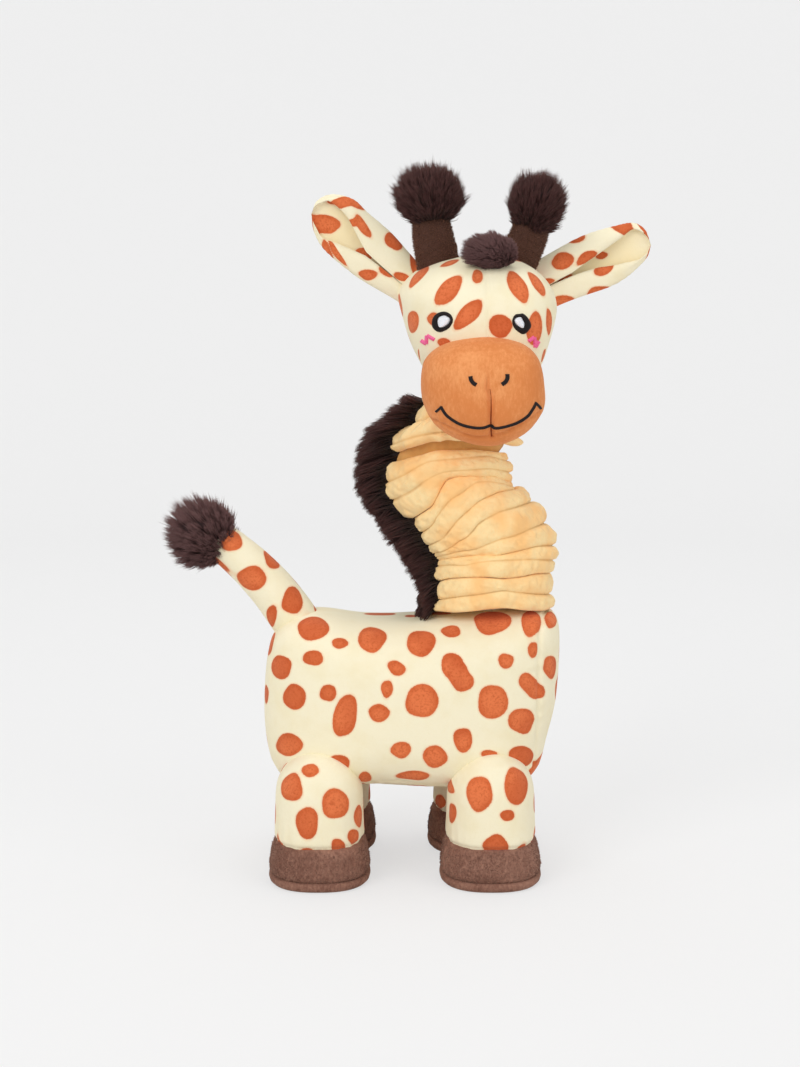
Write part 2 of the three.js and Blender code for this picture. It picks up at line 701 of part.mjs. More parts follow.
function addFace() {
  for (const [side, sign] of [['right', -1], ['left', 1]]) {
    const x = sign * eyeSpacing;
    const ring = ringShape(x, eyeZ, eyeRadius, eyeWhiteRadius + seamGap);
    head.add(mesh(`eye_${side}_ring`, stitched([ring], headForm), colours.black));
    const white = ringShape(x, eyeZ, eyeWhiteRadius, 0);
    head.add(mesh(`eye_${side}_white`, stitched([white], headForm), colours.white));
    const nostril = ribbonShape([[sign * (nostrilX + 1.5), nostrilZ + 2.4], [sign * nostrilX, nostrilZ],
      [sign * (nostrilX - 1.5), nostrilZ - 1.8]], mouthStitch);
    head.add(mesh(`nostril_${side}`, stitched([nostril], muzzleForm), colours.black));
    const zigzag = [[-3.6, -2.4], [-1.2, 1.6], [1.2, -1.6], [3.6, 2.4]]
      .map(([dx, dz]) => [sign * cheekX + dx, cheekZ + dz]);
    const strokes = zigzag.slice(1).map((point, i) => ribbonShape([zigzag[i], point], mouthStitch));
    head.add(mesh(`cheek_${side}`, stitched(strokes, headForm), colours.pink));
  }
  const mouth = [ribbonShape(mouthPoints(), mouthStitch), mouthTick(-1), mouthTick(1)];
  head.add(mesh('mouth_line', stitched(mouth, muzzleForm), colours.black));
}

// Ears: the leaf runs along its own length from a hinge line at the root

// The root stands just off the head where the head's own normal has the ear's rise
function earFrame(sign, rise) {
  const along = vector(sign * Math.cos(radians(rise)), 0, Math.sin(radians(rise)));
  const slope = (Math.tan(radians(rise)) * headHalf[2] / headHalf[0]) ** (1 / (headSquareness - 1));
  const level = 1 - (earRootY / headHalf[1]) ** headSquareness;
  const share = ((1 + slope ** headSquareness) / level) ** (-1 / headSquareness);
  const root = vector(sign * headHalf[0] * share, earRootY, headZ + headHalf[2] * slope * share)
    .addScaledVector(along, seamGap / 2);
  return { root, along, across: vector(-sign * along.z, 0, sign * along.x) };
}

// One cloth layer of a cupped leaf, between two places through the thickness, with a thinned root edge
function earLayerForm(frame, outside, inside) {
  const rows = 7;
  const columns = 6;
  const rings = [];
  for (let i = -1; i <= rows; i += 1) {
    const share = i < 0 ? 0 : Math.max(i / rows, earLayer / earLength);
    const face = i < 0 ? THREE.MathUtils.lerp(inside, outside, 0.3) : outside;
    const swell = Math.sin(Math.PI / 2 * Math.min(1, share / earRoundAt));
    const rounding = Math.max(0, share - earRoundAt) / (1 - earRoundAt);
    const narrow = Math.sqrt(Math.max(0.06, 1 - rounding ** 2));
    const half = THREE.MathUtils.lerp(earRootWidth, earMidWidth, swell) / 2 * narrow;
    const cup = earCup * Math.sin(Math.PI * share);
    const point = (column, depth) => {
      const v = -1 + 2 * column / columns;
      return frame.root.clone().addScaledVector(frame.along, earLength * share)
        .addScaledVector(frame.across, half * v)
        .addScaledVector(yAxis, depth + cup * (0.5 - Math.abs(v) ** 1.4));
    };
    const ring = [];
    for (let column = 0; column <= columns; column += 1) ring.push(point(column, face));
    for (let column = columns; column >= 0; column -= 1) ring.push(point(column, inside));
    rings.push(ring);
  }
  return loft(rings);
}

function addEar(side, ear) {
  const frame = earFrame(ear.sign, ear.rise);
  head.add(mesh(`ear_${side}_front`, earLayerForm(frame, -earLayer - seamGap / 2, -seamGap / 2), colours.print));
  head.add(mesh(`ear_${side}_back`, earLayerForm(frame, earLayer + seamGap / 2, seamGap / 2), colours.print));
}

// Horns: a flattened stub that rolls on a round foot in the head, and a pompom on its end

function hornFrame(horn) {
  const lean = radians(horn.lean);
  return { root: vector(horn.x, horn.y, horn.z), along: vector(Math.sin(lean), 0, Math.cos(lean)) };
}

function hornForm(horn, offset) {
  const { root, along } = hornFrame(horn);
  const across = vector(along.z, 0, -along.x);
  const rings = [];
  const ring = (reach, a, b) => rings.push(ringOf(14, (angle) => {
    const [c, s] = squircle(angle, 2.4);
    return root.clone().addScaledVector(along, reach)
      .addScaledVector(across, a * c).addScaledVector(yAxis, -b * s);
  }));
  const radius = hornHalfWidth + offset;
  const depth = hornHalfDepth + offset;
  for (const angle of [-75, -50, -25, 0]) {
    ring(radius * Math.sin(radians(angle)), radius * Math.cos(radians(angle)), depth * (angle < -60 ? 0.7 : 1));
  }
  ring(horn.length * 0.55, radius * 0.96, depth);
  ring(horn.length + offset, radius, depth);
  return loft(rings);
}

function pompomForm(horn) {
  const { root, along } = hornFrame(horn);
  const centre = root.clone().addScaledVector(along, horn.length + horn.pompom * 0.78);
  const half = [horn.pompom * 1.04, horn.pompom, horn.pompom * 0.92];
  return blob(centre, half, 2, 8, 12);
}

function addHorn(side) {
  const horn = horns[side];
  head.add(mesh(`horn_${side}_stem`, hornForm(horn, 0), colours.horn));
  head.add(mesh(`horn_${side}_pompom`, pompomForm(horn).subtract(hornForm(horn, seamGap)), colours.fur));
}

function hornHollow(horn) {
  const { root, along } = hornFrame(horn);
  return hingeHollow(root, along, hornHalfWidth + jointClearance, hornSwing, horn.length,
    hornHalfDepth + jointClearance);
}

function addHead() {
  const socket = ball(headPivotLocal, headBallRadius + ballClearance, 12, 20);
  for (const [side, ear] of Object.entries(ears)) addEar(side, ear);
  for (const side of Object.keys(horns)) addHorn(side);
  const hollows = Object.values(horns).map(hornHollow);
  const cut = (solid) => [socket, ...hollows].reduce((left, hole) => left.subtract(hole), solid);

  const shell = cut(headForm(0).subtract(headForm(-clothWall, 8, 14)));
  head.add(mesh('head_skin_right', shell.trimByPlane([-1, 0, 0], seamGap / 2), colours.print));
  head.add(mesh('head_skin_left', shell.trimByPlane([1, 0, 0], seamGap / 2), colours.print));

  const squeakerAt = headCentre.clone().add(vector(0, -2, 8));
  const squeaker = squeakerForm(squeakerAt, headSqueakerRadius, headSqueakerThickness, squeakerSnoutRadius, 3);
  const pocket = squeakerForm(
    squeakerAt, headSqueakerRadius + squeakerFit, headSqueakerThickness + 2 * squeakerFit,
    squeakerSnoutRadius + squeakerFit, headHalf[2],
  );
  head.add(mesh('head_squeaker', squeaker, colours.squeaker, 0.5));
  head.add(mesh('head_filling', cut(headForm(-clothWall - seamGap, 8, 14)).subtract(pocket), colours.filling));

  const muzzleFront = (offset) => muzzleForm(offset).subtract(headForm(seamGap - offset)).subtract(socket);
  const muzzleFilling = muzzleFront(-clothWall - seamGap);
  const muzzleHollow = muzzleForm(-clothWall).subtract(headForm(-2 * clothWall));
  head.add(mesh('muzzle_skin', muzzleFront(0).subtract(muzzleHollow), colours.muzzle));
  head.add(mesh('muzzle_filling', muzzleFilling, colours.filling));

  const forelock = blob(vector(forelockX, forelockY, forelockZ), forelockHalf, 2, 8, 14);
  const clear = [headForm(seamGap), ...hollows].reduce((left, hole) => left.subtract(hole), forelock);
  head.add(mesh('forelock_tuft', clear, colours.fur));
  addFace();
}

addHead();

// The origin is under the middle of the whole toy, on the floor

toy.updateMatrixWorld(true);
const bounds = new THREE.Box3().setFromObject(toy, true);
const middle = bounds.getCenter(vector(0, 0, 0));
toy.position.set(-middle.x, -middle.y, -bounds.min.z);

const report = (name, p) => console.log(name, [p.x - middle.x, p.y - middle.y, p.z - bounds.min.z]
  .map((value) => (value / 1000).toFixed(5)).join(', '));
const inToy = (p) => p.clone().applyMatrix4(headPlace);
report('neck_base', basePivot);
report('neck_mid', midPivot);
report('head', headPivot);
report('tail', tailRoot);
for (const [name, leg] of Object.entries(legs)) {
  report(`hip_${name}`, vector(leg.x, leg.side * legCentreY, hipZ));
}
for (const [side, ear] of Object.entries(ears)) {
  const frame = earFrame(ear.sign, ear.rise);
  report(`ear_${side}`, inToy(frame.root));
  console.log(`ear_${side} axis`, frame.across.clone().transformDirection(headPlace).toArray());
}
for (const side of Object.keys(horns)) report(`horn_${side}`, inToy(hornFrame(horns[side]).root));
console.log('horn axis', yAxis.clone().transformDirection(headPlace).toArray());
console.log('nod axis', nodAxis.toArray());
console.log('stretch axis', stretchFrame.along.toArray());
report('stretch', stretchFrame.at);
report('box low', bounds.min);
report('box high', bounds.max);

export default toy;
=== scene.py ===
# Plush giraffe dog toy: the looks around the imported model. Metres, +Z up, the face looks along -Y.
import bpy
import json
import numpy as np
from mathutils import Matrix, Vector
from mathutils.bvhtree import BVHTree


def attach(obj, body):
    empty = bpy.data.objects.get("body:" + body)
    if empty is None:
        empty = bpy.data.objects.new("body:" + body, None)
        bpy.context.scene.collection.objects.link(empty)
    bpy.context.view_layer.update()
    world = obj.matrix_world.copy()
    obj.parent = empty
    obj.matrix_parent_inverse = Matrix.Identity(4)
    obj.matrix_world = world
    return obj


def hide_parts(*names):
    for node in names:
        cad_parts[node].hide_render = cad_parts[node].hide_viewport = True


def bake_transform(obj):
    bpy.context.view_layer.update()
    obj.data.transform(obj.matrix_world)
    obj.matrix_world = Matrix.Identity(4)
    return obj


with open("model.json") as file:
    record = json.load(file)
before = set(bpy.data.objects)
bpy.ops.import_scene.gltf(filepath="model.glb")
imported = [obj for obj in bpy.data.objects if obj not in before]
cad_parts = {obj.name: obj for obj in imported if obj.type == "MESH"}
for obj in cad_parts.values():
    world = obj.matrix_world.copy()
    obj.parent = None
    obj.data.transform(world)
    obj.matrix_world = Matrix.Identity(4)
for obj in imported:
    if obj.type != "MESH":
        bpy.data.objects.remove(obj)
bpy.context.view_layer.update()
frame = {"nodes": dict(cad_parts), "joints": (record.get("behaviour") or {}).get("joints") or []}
scene = bpy.context.scene
joints = {joint["name"]: joint for joint in frame["joints"]}
mm = 0.001

# Places were measured in the toy's own layout, with the neck's base 40 mm ahead of its middle
neckBase = np.array(joints["neck_base_bend"]["pos_m"])
layoutShift = neckBase - np.array([40, 0, 126]) * mm

# Camera, made first: it stands where the photographer stood
viewSet = {
    "place": np.array([-4.9, -850, 290]) * mm + layoutShift,
    "pitch": 8.33,        # degrees down
    "focalPixels": 1753,  # for a picture 1067 pixels tall
    "pictureSize": (800, 1067),
    "sensor": 24,         # mm
    "near": 0.05, "far": 20,
}


def makeCamera(settings):
    data = bpy.data.cameras.new("viewCamera")
    camera = bpy.data.objects.new("viewCamera", data)
    scene.collection.objects.link(camera)
    data.sensor_fit = "VERTICAL"
    data.sensor_height = settings["sensor"]
    data.lens = settings["sensor"] * settings["focalPixels"] / settings["pictureSize"][1]
    data.clip_start = settings["near"]
    data.clip_end = settings["far"]
    camera.location = settings["place"]
    camera.rotation_euler = (np.radians(90 - settings["pitch"]), 0, 0)
    scene.camera = camera


makeCamera(viewSet)
pitch = np.radians(viewSet["pitch"])
cameraForward = np.array([0, np.cos(pitch), -np.sin(pitch)])
cameraUp = np.array([0, np.sin(pitch), np.cos(pitch)])


# Directions from the camera through points of the picture
def pixelRay(px, py):
    across = (np.asarray(px, float) - viewSet["pictureSize"][0] / 2) / viewSet["focalPixels"]
    rise = (viewSet["pictureSize"][1] / 2 - np.asarray(py, float)) / viewSet["focalPixels"]
    ray = cameraForward + across[..., None] * np.array([1, 0, 0]) + rise[..., None] * cameraUp
    return unitOf(ray)


# Points of the picture carried out to a depth: the toy's own y in mm
def atPixel(px, py, y):
    ray = pixelRay(px, py)
    wanted = np.asarray(y, float) * mm + layoutShift[1]
    return viewSet["place"] + ray * ((wanted - viewSet["place"][1]) / ray[..., 1])[..., None]


# Points of the toy's own layout, in mm, as points of the scene
def place(x, y, z):
    return np.stack(np.broadcast_arrays(x, y, z), axis=-1) * mm + layoutShift


def unitOf(vectors):
    return vectors / np.maximum(np.linalg.norm(vectors, axis=-1, keepdims=True), 1e-12)


print("camera ready")

# Floor, backdrop and light

stageSet = {
    "paper": 0.8, "glow": 0.6, "shadow": 0.3,
    "wide": 3, "front": -2.5, "bend": 1.2, "curve": 0.6, "tall": 4,  # metres
    "bowlSides": 96, "bowlInset": 0.05, "bowlLift": 0.0002,
    "lamps": {"keyLamp": ((-1.1, -1.5, 1.5), 1.2, 18.8), "fillLamp": ((1.4, -1.2, 0.9), 1.4, 8.2),
              "topLamp": ((0, 0.3, 1.9), 1.4, 8.2)},  # place, size in metres, watts
    "aim": (0, 0, 0.17),
    "sky": 0.54, "skySeen": 0.86,
}


def putBackdrop(name, points, faces, paper):
    mesh = bpy.data.meshes.new(name)
    mesh.from_pydata(points.reshape(-1, 3).tolist(), [], faces)
    mesh.polygons.foreach_set("use_smooth", [True] * len(faces))
    mesh.materials.append(paper)
    backdrop = bpy.data.objects.new(name, mesh)
    scene.collection.objects.link(backdrop)
    return backdrop


# Paper sweep that the light sees, and a round bowl of the same profile that only the camera sees, from every side:
# flat floor, quarter circle, upright wall
def makeStage(settings):
    paper = paperMaterial(settings)
    turn = np.radians(np.linspace(0, 90, 13))
    bend, curve = settings["bend"], settings["curve"]
    run = np.concatenate([[settings["front"]], bend + curve * np.sin(turn), [bend + curve]])
    rise = np.concatenate([[0], curve - curve * np.cos(turn), [settings["tall"]]])
    count = len(run)
    reach = np.repeat([[-settings["wide"]], [settings["wide"]]], count, 1)
    points = np.stack([reach, np.tile(run, (2, 1)), np.tile(rise, (2, 1))], -1)
    faces = [(i, count + i, count + i + 1, i + 1) for i in range(count - 1)]
    putBackdrop("backdrop", points, faces, paper).visible_camera = False
    sides = settings["bowlSides"]
    around = np.linspace(0, 2 * np.pi, sides, endpoint=False)[:, None]
    radius = np.concatenate([[0.01], run[1:] - settings["bowlInset"]])
    points = np.stack([radius * np.cos(around), radius * np.sin(around), rise + settings["bowlLift"] + 0 * around], -1)
    faces = [(j * count + i, j * count + i + 1, (j + 1) % sides * count + i + 1, (j + 1) % sides * count + i)
             for j in range(sides) for i in range(count - 1)]
    faces.append([j * count for j in range(sides)])
    bowl = putBackdrop("backdropBowl", points, faces, paper)
    for kind in ("diffuse", "glossy", "transmission", "volume_scatter", "shadow"):
        setattr(bowl, "visible_" + kind, False)


# 1 where the camera sees the surface directly, in a reflection or through something, else 0
def seenDirectly(tree):
    path = tree.nodes.new("ShaderNodeLightPath")
    seen = path.outputs["Is Camera Ray"]
    for kind in ("Is Glossy Ray", "Is Transmission Ray"):
        either = tree.nodes.new("ShaderNodeMath")
        either.operation = "MAXIMUM"
        tree.links.new(seen, either.inputs[0])
        tree.links.new(path.outputs[kind], either.inputs[1])
        seen = either.outputs[0]
    return seen


# Plain paper that the camera sees as an even pale grey with a soft part of the object's shadow
def paperMaterial(settings):
    paper = bpy.data.materials.new("backdropPaper")
    paper.use_nodes = True
    tree = paper.node_tree
    output = tree.nodes["Material Output"]
    plain = tree.nodes["Principled BSDF"]
    seen = tree.nodes.new("ShaderNodeBsdfDiffuse")
    for socket, level in ((plain.inputs["Base Color"], settings["paper"]), (seen.inputs["Color"], settings["shadow"])):
        socket.default_value = (level, level, level, 1)
    plain.inputs["Roughness"].default_value = 1
    plain.inputs["Specular IOR Level"].default_value = 0
    glow = tree.nodes.new("ShaderNodeEmission")
    glow.inputs["Strength"].default_value = settings["glow"]
    total = tree.nodes.new("ShaderNodeAddShader")
    tree.links.new(seen.outputs[0], total.inputs[0])
    tree.links.new(glow.outputs[0], total.inputs[1])
    mix = tree.nodes.new("ShaderNodeMixShader")
    tree.links.new(seenDirectly(tree), mix.inputs[0])
    tree.links.new(plain.outputs[0], mix.inputs[1])
    tree.links.new(total.outputs[0], mix.inputs[2])
    tree.links.new(mix.outputs[0], output.inputs["Surface"])
    return paper


def makeLight(settings):
    for name, (location, size, power) in settings["lamps"].items():
        data = bpy.data.lights.new(name, "AREA")
        data.shape = "SQUARE"
        data.size = size
        data.energy = power
        lamp = bpy.data.objects.new(name, data)
        scene.collection.objects.link(lamp)
        lamp.location = location
        aim = Vector(settings["aim"]) - Vector(location)
        lamp.rotation_euler = aim.to_track_quat("-Z", "Y").to_euler()
    world = bpy.data.worlds.new("studio")
    scene.world = world
    world.use_nodes = True
    tree = world.node_tree
    sky = tree.nodes["Background"]
    sky.inputs["Color"].default_value = (1, 1, 1, 1)
    strength = tree.nodes.new("ShaderNodeMix")
    strength.inputs[2].default_value = settings["sky"]
    strength.inputs[3].default_value = settings["skySeen"]
    tree.links.new(seenDirectly(tree), strength.inputs[0])
    tree.links.new(strength.outputs[0], sky.inputs["Strength"])
    scene.view_settings.view_transform = "Standard"


makeStage(stageSet)
makeLight(stageSet)
print("stage and light ready")

# Mesh helpers


# Mesh object from points and faces, with smooth faces
def putMesh(name, points, faces):
    mesh = bpy.data.meshes.new(name)
    points = np.asarray(points, float).reshape(-1, 3)
    faces = np.asarray(faces, dtype=np.int32)
    mesh.vertices.add(len(points))
    mesh.vertices.foreach_set("co", points.ravel())
    mesh.loops.add(faces.size)
    mesh.loops.foreach_set("vertex_index", faces.ravel())
    mesh.polygons.add(len(faces))
    mesh.polygons.foreach_set("loop_start", np.arange(len(faces), dtype=np.int32) * faces.shape[1])
    mesh.polygons.foreach_set("use_smooth", np.ones(len(faces), dtype=bool))
    mesh.update(calc_edges=True)
    piece = bpy.data.objects.new(name, mesh)
    scene.collection.objects.link(piece)
    return piece


def pointsOf(piece, kind="co"):
    flat = np.empty(3 * len(piece.data.vertices))
    piece.data.vertices.foreach_get(kind, flat)
    return flat.reshape(-1, 3)


def normalsOf(piece):
    return pointsOf(piece, "normal")


# Says what a piece is: body it rides on, imported nodes it stands for, and its looks
def label(piece, body, nodes, looks):
    if body:
        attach(piece, body)
    if nodes:
        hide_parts(*nodes)
    dressed.append((piece, looks))
    return piece


dressed = []


def setPoints(piece, points):
    piece.data.vertices.foreach_set("co", np.asarray(points, float).ravel())
    piece.data.update()


def setAttribute(piece, name, values):
    layer = piece.data.attributes.new(name, "FLOAT", "POINT")
    layer.data.foreach_set("value", np.asarray(values, np.float32))


# Closed skin over rows of rings: index j runs round each ring, and both ends are capped with a fan
def closedFaces(rows, sides):
    j = np.arange(sides)
    after = (j + 1) % sides
    faces = []
    for i in range(rows - 1):
        a, b = i * sides, (i + 1) * sides
        faces.append(np.stack([a + j, a + after, b + after], 1))
        faces.append(np.stack([a + j, b + after, b + j], 1))
    low, high = rows * sides, rows * sides + 1
    faces.append(np.stack([np.full(sides, low), after, j], 1))
    top = (rows - 1) * sides
    faces.append(np.stack([np.full(sides, high), top + j, top + after], 1))
    return np.concatenate(faces)


# Rings as points and faces of a closed skin whose faces look outward
def closedSkin(rings):
    rings = np.asarray(rings, float)
    points = np.concatenate([rings.reshape(-1, 3), [rings[0].mean(0)], [rings[-1].mean(0)]])
    faces = closedFaces(*rings.shape[:2])
    a, b, c = (points[faces[:, k]] - points.mean(0) for k in range(3))
    if np.einsum("ij,ij->i", a, np.cross(b, c)).sum() < 0:
        faces = faces[:, ::-1]
    return points, faces


def putRings(name, rings):
    return putMesh(name, *closedSkin(rings))


# Replaces a piece's mesh by what its modifiers make of it
def bake(piece):
    graph = bpy.context.evaluated_depsgraph_get()
    mesh = bpy.data.meshes.new_from_object(piece.evaluated_get(graph))
    piece.modifiers.clear()
    old = piece.data
    piece.data = mesh
    bpy.data.meshes.remove(old)
    mesh.name = piece.name
    mesh.polygons.foreach_set("use_smooth", np.ones(len(mesh.polygons), dtype=bool))


# Adds one modifier with its settings and bakes it
def modify(piece, kind, **settings):
    modifier = piece.modifiers.new(kind.lower(), kind)
    for key, value in settings.items():
        setattr(modifier, key, value)
    bake(piece)


# Pads a closed form: cloth with pressure inside it, held along its seams, with its movement capped
def puff(piece, held, settings):
    modify(piece, "REMESH", mode="VOXEL", voxel_size=settings["voxel"] * mm)
    start = pointsOf(piece)
    group = piece.vertex_groups.new(name="held")
    weights = np.round(held(start), 1)
    for level in np.unique(weights[weights > 0]):
        group.add(np.flatnonzero(weights == level).tolist(), float(level), "REPLACE")
    modifier = piece.modifiers.new("pad", "CLOTH")
    stiffness = settings["stiffness"]
    given = {"quality": 5, "mass": 0.3, "use_pressure": True, "uniform_pressure_force": settings["pressure"],
             "tension_stiffness": stiffness, "compression_stiffness": stiffness, "shear_stiffness": stiffness / 2,
             "bending_stiffness": settings["bending"], "vertex_group_mass": "held"}
    for key, value in given.items():
        setattr(modifier.settings, key, value)
    modifier.settings.effector_weights.gravity = 0
    modifier.collision_settings.use_collision = False
    modifier.point_cache.frame_start = 1
    modifier.point_cache.frame_end = clothFrames
    for frameNumber in range(1, clothFrames + 1):
        scene.frame_set(frameNumber)
    graph = bpy.context.evaluated_depsgraph_get()
    shift = pointsOf(piece.evaluated_get(graph)) - start
    length = np.linalg.norm(shift, axis=1, keepdims=True)
    shift *= np.minimum(1, settings["cap"] * mm / np.maximum(length, 1e-9))
    piece.modifiers.clear()
    piece.vertex_groups.clear()
    scene.frame_set(1)
    setPoints(piece, start + shift)
    print(piece.name, "padded, moved up to", round(float(length.max()) * 1000, 1), "mm")
    modify(piece, "SUBSURF", levels=settings["levels"], render_levels=settings["levels"])


clothFrames = 20


def treeOf(piece):
    graph = bpy.context.evaluated_depsgraph_get()
    return BVHTree.FromObject(piece, graph)


# Smooth curve through points: each coordinate runs on a Catmull-Rom spline, evenly by length
def smoothCurve(points, count, closed=False):
    points = np.asarray(points, float)
    if closed:
        ring = np.concatenate([points[-1:], points, points[:2]])
    else:
        ring = np.concatenate([2 * points[:1] - points[1:2], points, 2 * points[-1:] - points[-2:-1]])
    t = np.linspace(0, 1, 12, endpoint=False)[:, None]
    parts = []
    for a, b, c, d in zip(ring[:-3], ring[1:-2], ring[2:-1], ring[3:]):
        parts.append(0.5 * (2 * b + (c - a) * t + (2 * a - 5 * b + 4 * c - d) * t**2
                            + (3 * b - a - 3 * c + d) * t**3))
    parts.append(points[:1] if closed else points[-1:])
    dense = np.concatenate(parts)
    length = np.concatenate([[0], np.cumsum(np.linalg.norm(np.diff(dense, axis=0), axis=1))])
    wanted = np.linspace(0, length[-1], count, endpoint=not closed)
    return np.stack([np.interp(wanted, length, dense[:, k]) for k in range(dense.shape[1])], 1)


def smoothStep(low, high, value):
    t = np.clip((value - low) / (high - low), 0, 1)
    return t * t * (3 - 2 * t)


# Signed power of a sine or cosine, which squares a round form
def squared(value, exponent):
    return np.sign(value) * np.abs(value) ** (2 / exponent)


# Soft waves in space, between about -1 and 1: a sum of seeded sine waves with lengths near size
def waves(points, size, seed, count=7):
    source = np.random.default_rng(seed)
    total = np.zeros(len(points))
    for _ in range(count):
        direction = source.normal(size=3)
        direction *= 2 * np.pi / (np.linalg.norm(direction) * size * source.uniform(0.7, 1.5))
        total += np.sin(points @ direction + source.uniform(0, 6.3))
    return total / np.sqrt(count)


# Distance from each point to a line of points, and how far along the line the nearest place is
def toLine(points, line):
    best = np.full(len(points), np.inf)
    along = np.zeros(len(points))
    run = 0.0
    for a, b in zip(line[:-1], line[1:]):
        step = b - a
        size = np.linalg.norm(step)
        t = np.clip((points - a) @ step / max(size**2, 1e-12), 0, 1)
        gap = np.linalg.norm(points - a - t[:, None] * step, axis=1)
        near = gap < best
        best[near] = gap[near]
        along[near] = run + t[near] * size
        run += size
    return best, along


# Presses a seam into a skin: a groove exp(-(d/w)^2) deep, with gathers across it that fade with distance
def pressSeam(piece, distance, along, settings):
    points = pointsOf(piece)
    normals = normalsOf(piece)
    d = distance / mm
    groove = settings["depth"] * np.exp(-(d / settings["width"]) ** 2)
    turn = 2 * np.pi * along / (settings["gather"] * mm)
    uneven = 0.6 + 0.4 * waves(points, 0.03, 3)
    ripple = np.sin(turn + 1.3 * np.sin(turn * 0.37)) * uneven
    fade = np.exp(-(d / settings["fade"]) ** 2) * (1 - 0.6 * np.exp(-(d / settings["width"]) ** 2))
    push = -groove + settings["ripple"] * ripple * fade
    setPoints(piece, points + normals * push[:, None] * mm)


# Printed plush: spots are kept as signed distances in mm, below 0 inside a spot
spotForm = {
    "slant": 1.9,            # most that a spot on a slanting skin is drawn out
    "tries": 4000,
    "stretch": (0.8, 1.35),
    "lobes": ((2, 0.03), (3, 0.05), (4, 0.03), (5, 0.015)),
    "melt": 0.8,             # mm over which near spots melt together
    "reach": 12, "most": 10,  # mm
}


# Spots seen in the picture as places on a skin: centre, two half axes and the skin's normal there
def spotsInPicture(tree, spots):
    found = []
    origin = Vector(viewSet["place"])
    for px, py, wide, tall, *given in spots:
        tilt = given[0] if given else 0
        hit, normal, _, distance = tree.ray_cast(origin, Vector(pixelRay(px, py)))
        if hit is None:
            continue
        axes = []
        for angle, half in ((tilt, wide / 2), (tilt + 90, tall / 2)):
            turn = np.radians(angle)
            ray = Vector(pixelRay(px + half * np.cos(turn), py - half * np.sin(turn)))
            reach = (hit - origin).dot(normal) / min(-0.05, ray.dot(normal))
            axis = np.array(origin + ray * reach - hit)
            straight = half * distance / viewSet["focalPixels"]
            axes.append(axis * min(1, spotForm["slant"] * straight / np.linalg.norm(axis)))
        found.append((np.array(hit), axes[0], axes[1], np.array(normal)))
    return found


def mirrored(spots, tree):
    found = []
    for centre, a, b, normal in spots:
        near, normalThere, _, _ = tree.find_nearest(Vector(flipped(centre)))
        if abs(normal[1]) > 0.3:
            found.append((np.array(near), a * flip, b * flip, np.array(normalThere)))
    return found


# Seeded spots where the camera doesn't look and no spot is near
def fillSpots(piece, tree, spots, settings):
    points = pointsOf(piece)
    normals = normalsOf(piece)
    source = np.random.default_rng(settings["seed"])
    facing = np.einsum("ij,ij->i", normals, unitOf(viewSet["place"] - points))
    spots = list(spots)
    centres = [spot[0] for spot in spots]
    radii = [np.sqrt(np.linalg.norm(spot[1]) * np.linalg.norm(spot[2])) for spot in spots]
    for index in source.permutation(len(points))[:spotForm["tries"]]:
        radius = source.uniform(*settings["radius"]) * mm
        if facing[index] > settings["facing"]:
            continue
        if centres:
            gaps = np.linalg.norm(np.array(centres) - points[index], axis=1) - np.array(radii) - radius
            if settings.get("thin"):
                gaps += settings["thin"] * mm * (np.array([spot[3] for spot in spots]) @ normals[index] < 0)
            if gaps.min() < settings["gap"] * mm:
                continue
        normal = normals[index]
        side = unitOf(np.cross(normal, source.normal(size=3)))
        up = np.cross(normal, side)
        stretch = source.uniform(*spotForm["stretch"])
        spots.append((points[index], side * radius * stretch, up * radius / stretch, normal))
        centres.append(points[index])
        radii.append(radius)
    return spots


# Signed distance (rho / r(angle) - 1) * size to the nearest spot, where r has a few soft lobes, in mm. Near spots melt
# together by the log of summed exponentials. A folded piece gives its cloth laid flat: places on the cloth, which
# face, and the two directions of the cloth
def paintSpots(piece, spots, seed, cloth=None):
    points = pointsOf(piece)
    normals = normalsOf(piece)
    total = np.full(len(points), 1e-6)
    for number, (centre, a, b, normal) in enumerate(spots):
        source = np.random.default_rng(seed * 1000 + number)
        size = np.sqrt(np.linalg.norm(a) * np.linalg.norm(b))
        offset = points - centre
        if cloth is None:
            near = np.linalg.norm(offset, axis=1) < 3 * max(np.linalg.norm(a), np.linalg.norm(b)) + 4 * mm
            near &= normals @ normal > -0.2
            axes = np.stack([a, b], 1)
        else:
            index = np.argmin(np.linalg.norm(offset, axis=1) + 4 * mm * (normals @ normal < 0.3))
            near = cloth["face"] == cloth["face"][index]
            axes = np.linalg.lstsq(cloth["ways"][index].T, np.stack([a, b], 1), rcond=None)[0]
            offset = cloth["flat"] - cloth["flat"][index]
        if not near.any():
            continue
        flat = np.linalg.lstsq(axes, offset[near].T, rcond=None)[0]
        rho = np.hypot(flat[0], flat[1])
        angle = np.arctan2(flat[1], flat[0])
        lobes = np.ones(len(rho))
        for order, strength in spotForm["lobes"]:
            lobes += strength * source.uniform(0.4, 1) * np.cos(order * angle + source.uniform(0, 6.3))
        distance = np.clip((rho / lobes - 1) * size / mm, -spotForm["reach"], spotForm["reach"])
        total[near] += np.exp(-distance / spotForm["melt"])
    setAttribute(piece, "spot", np.clip(-spotForm["melt"] * np.log(total), -spotForm["most"], spotForm["most"]))


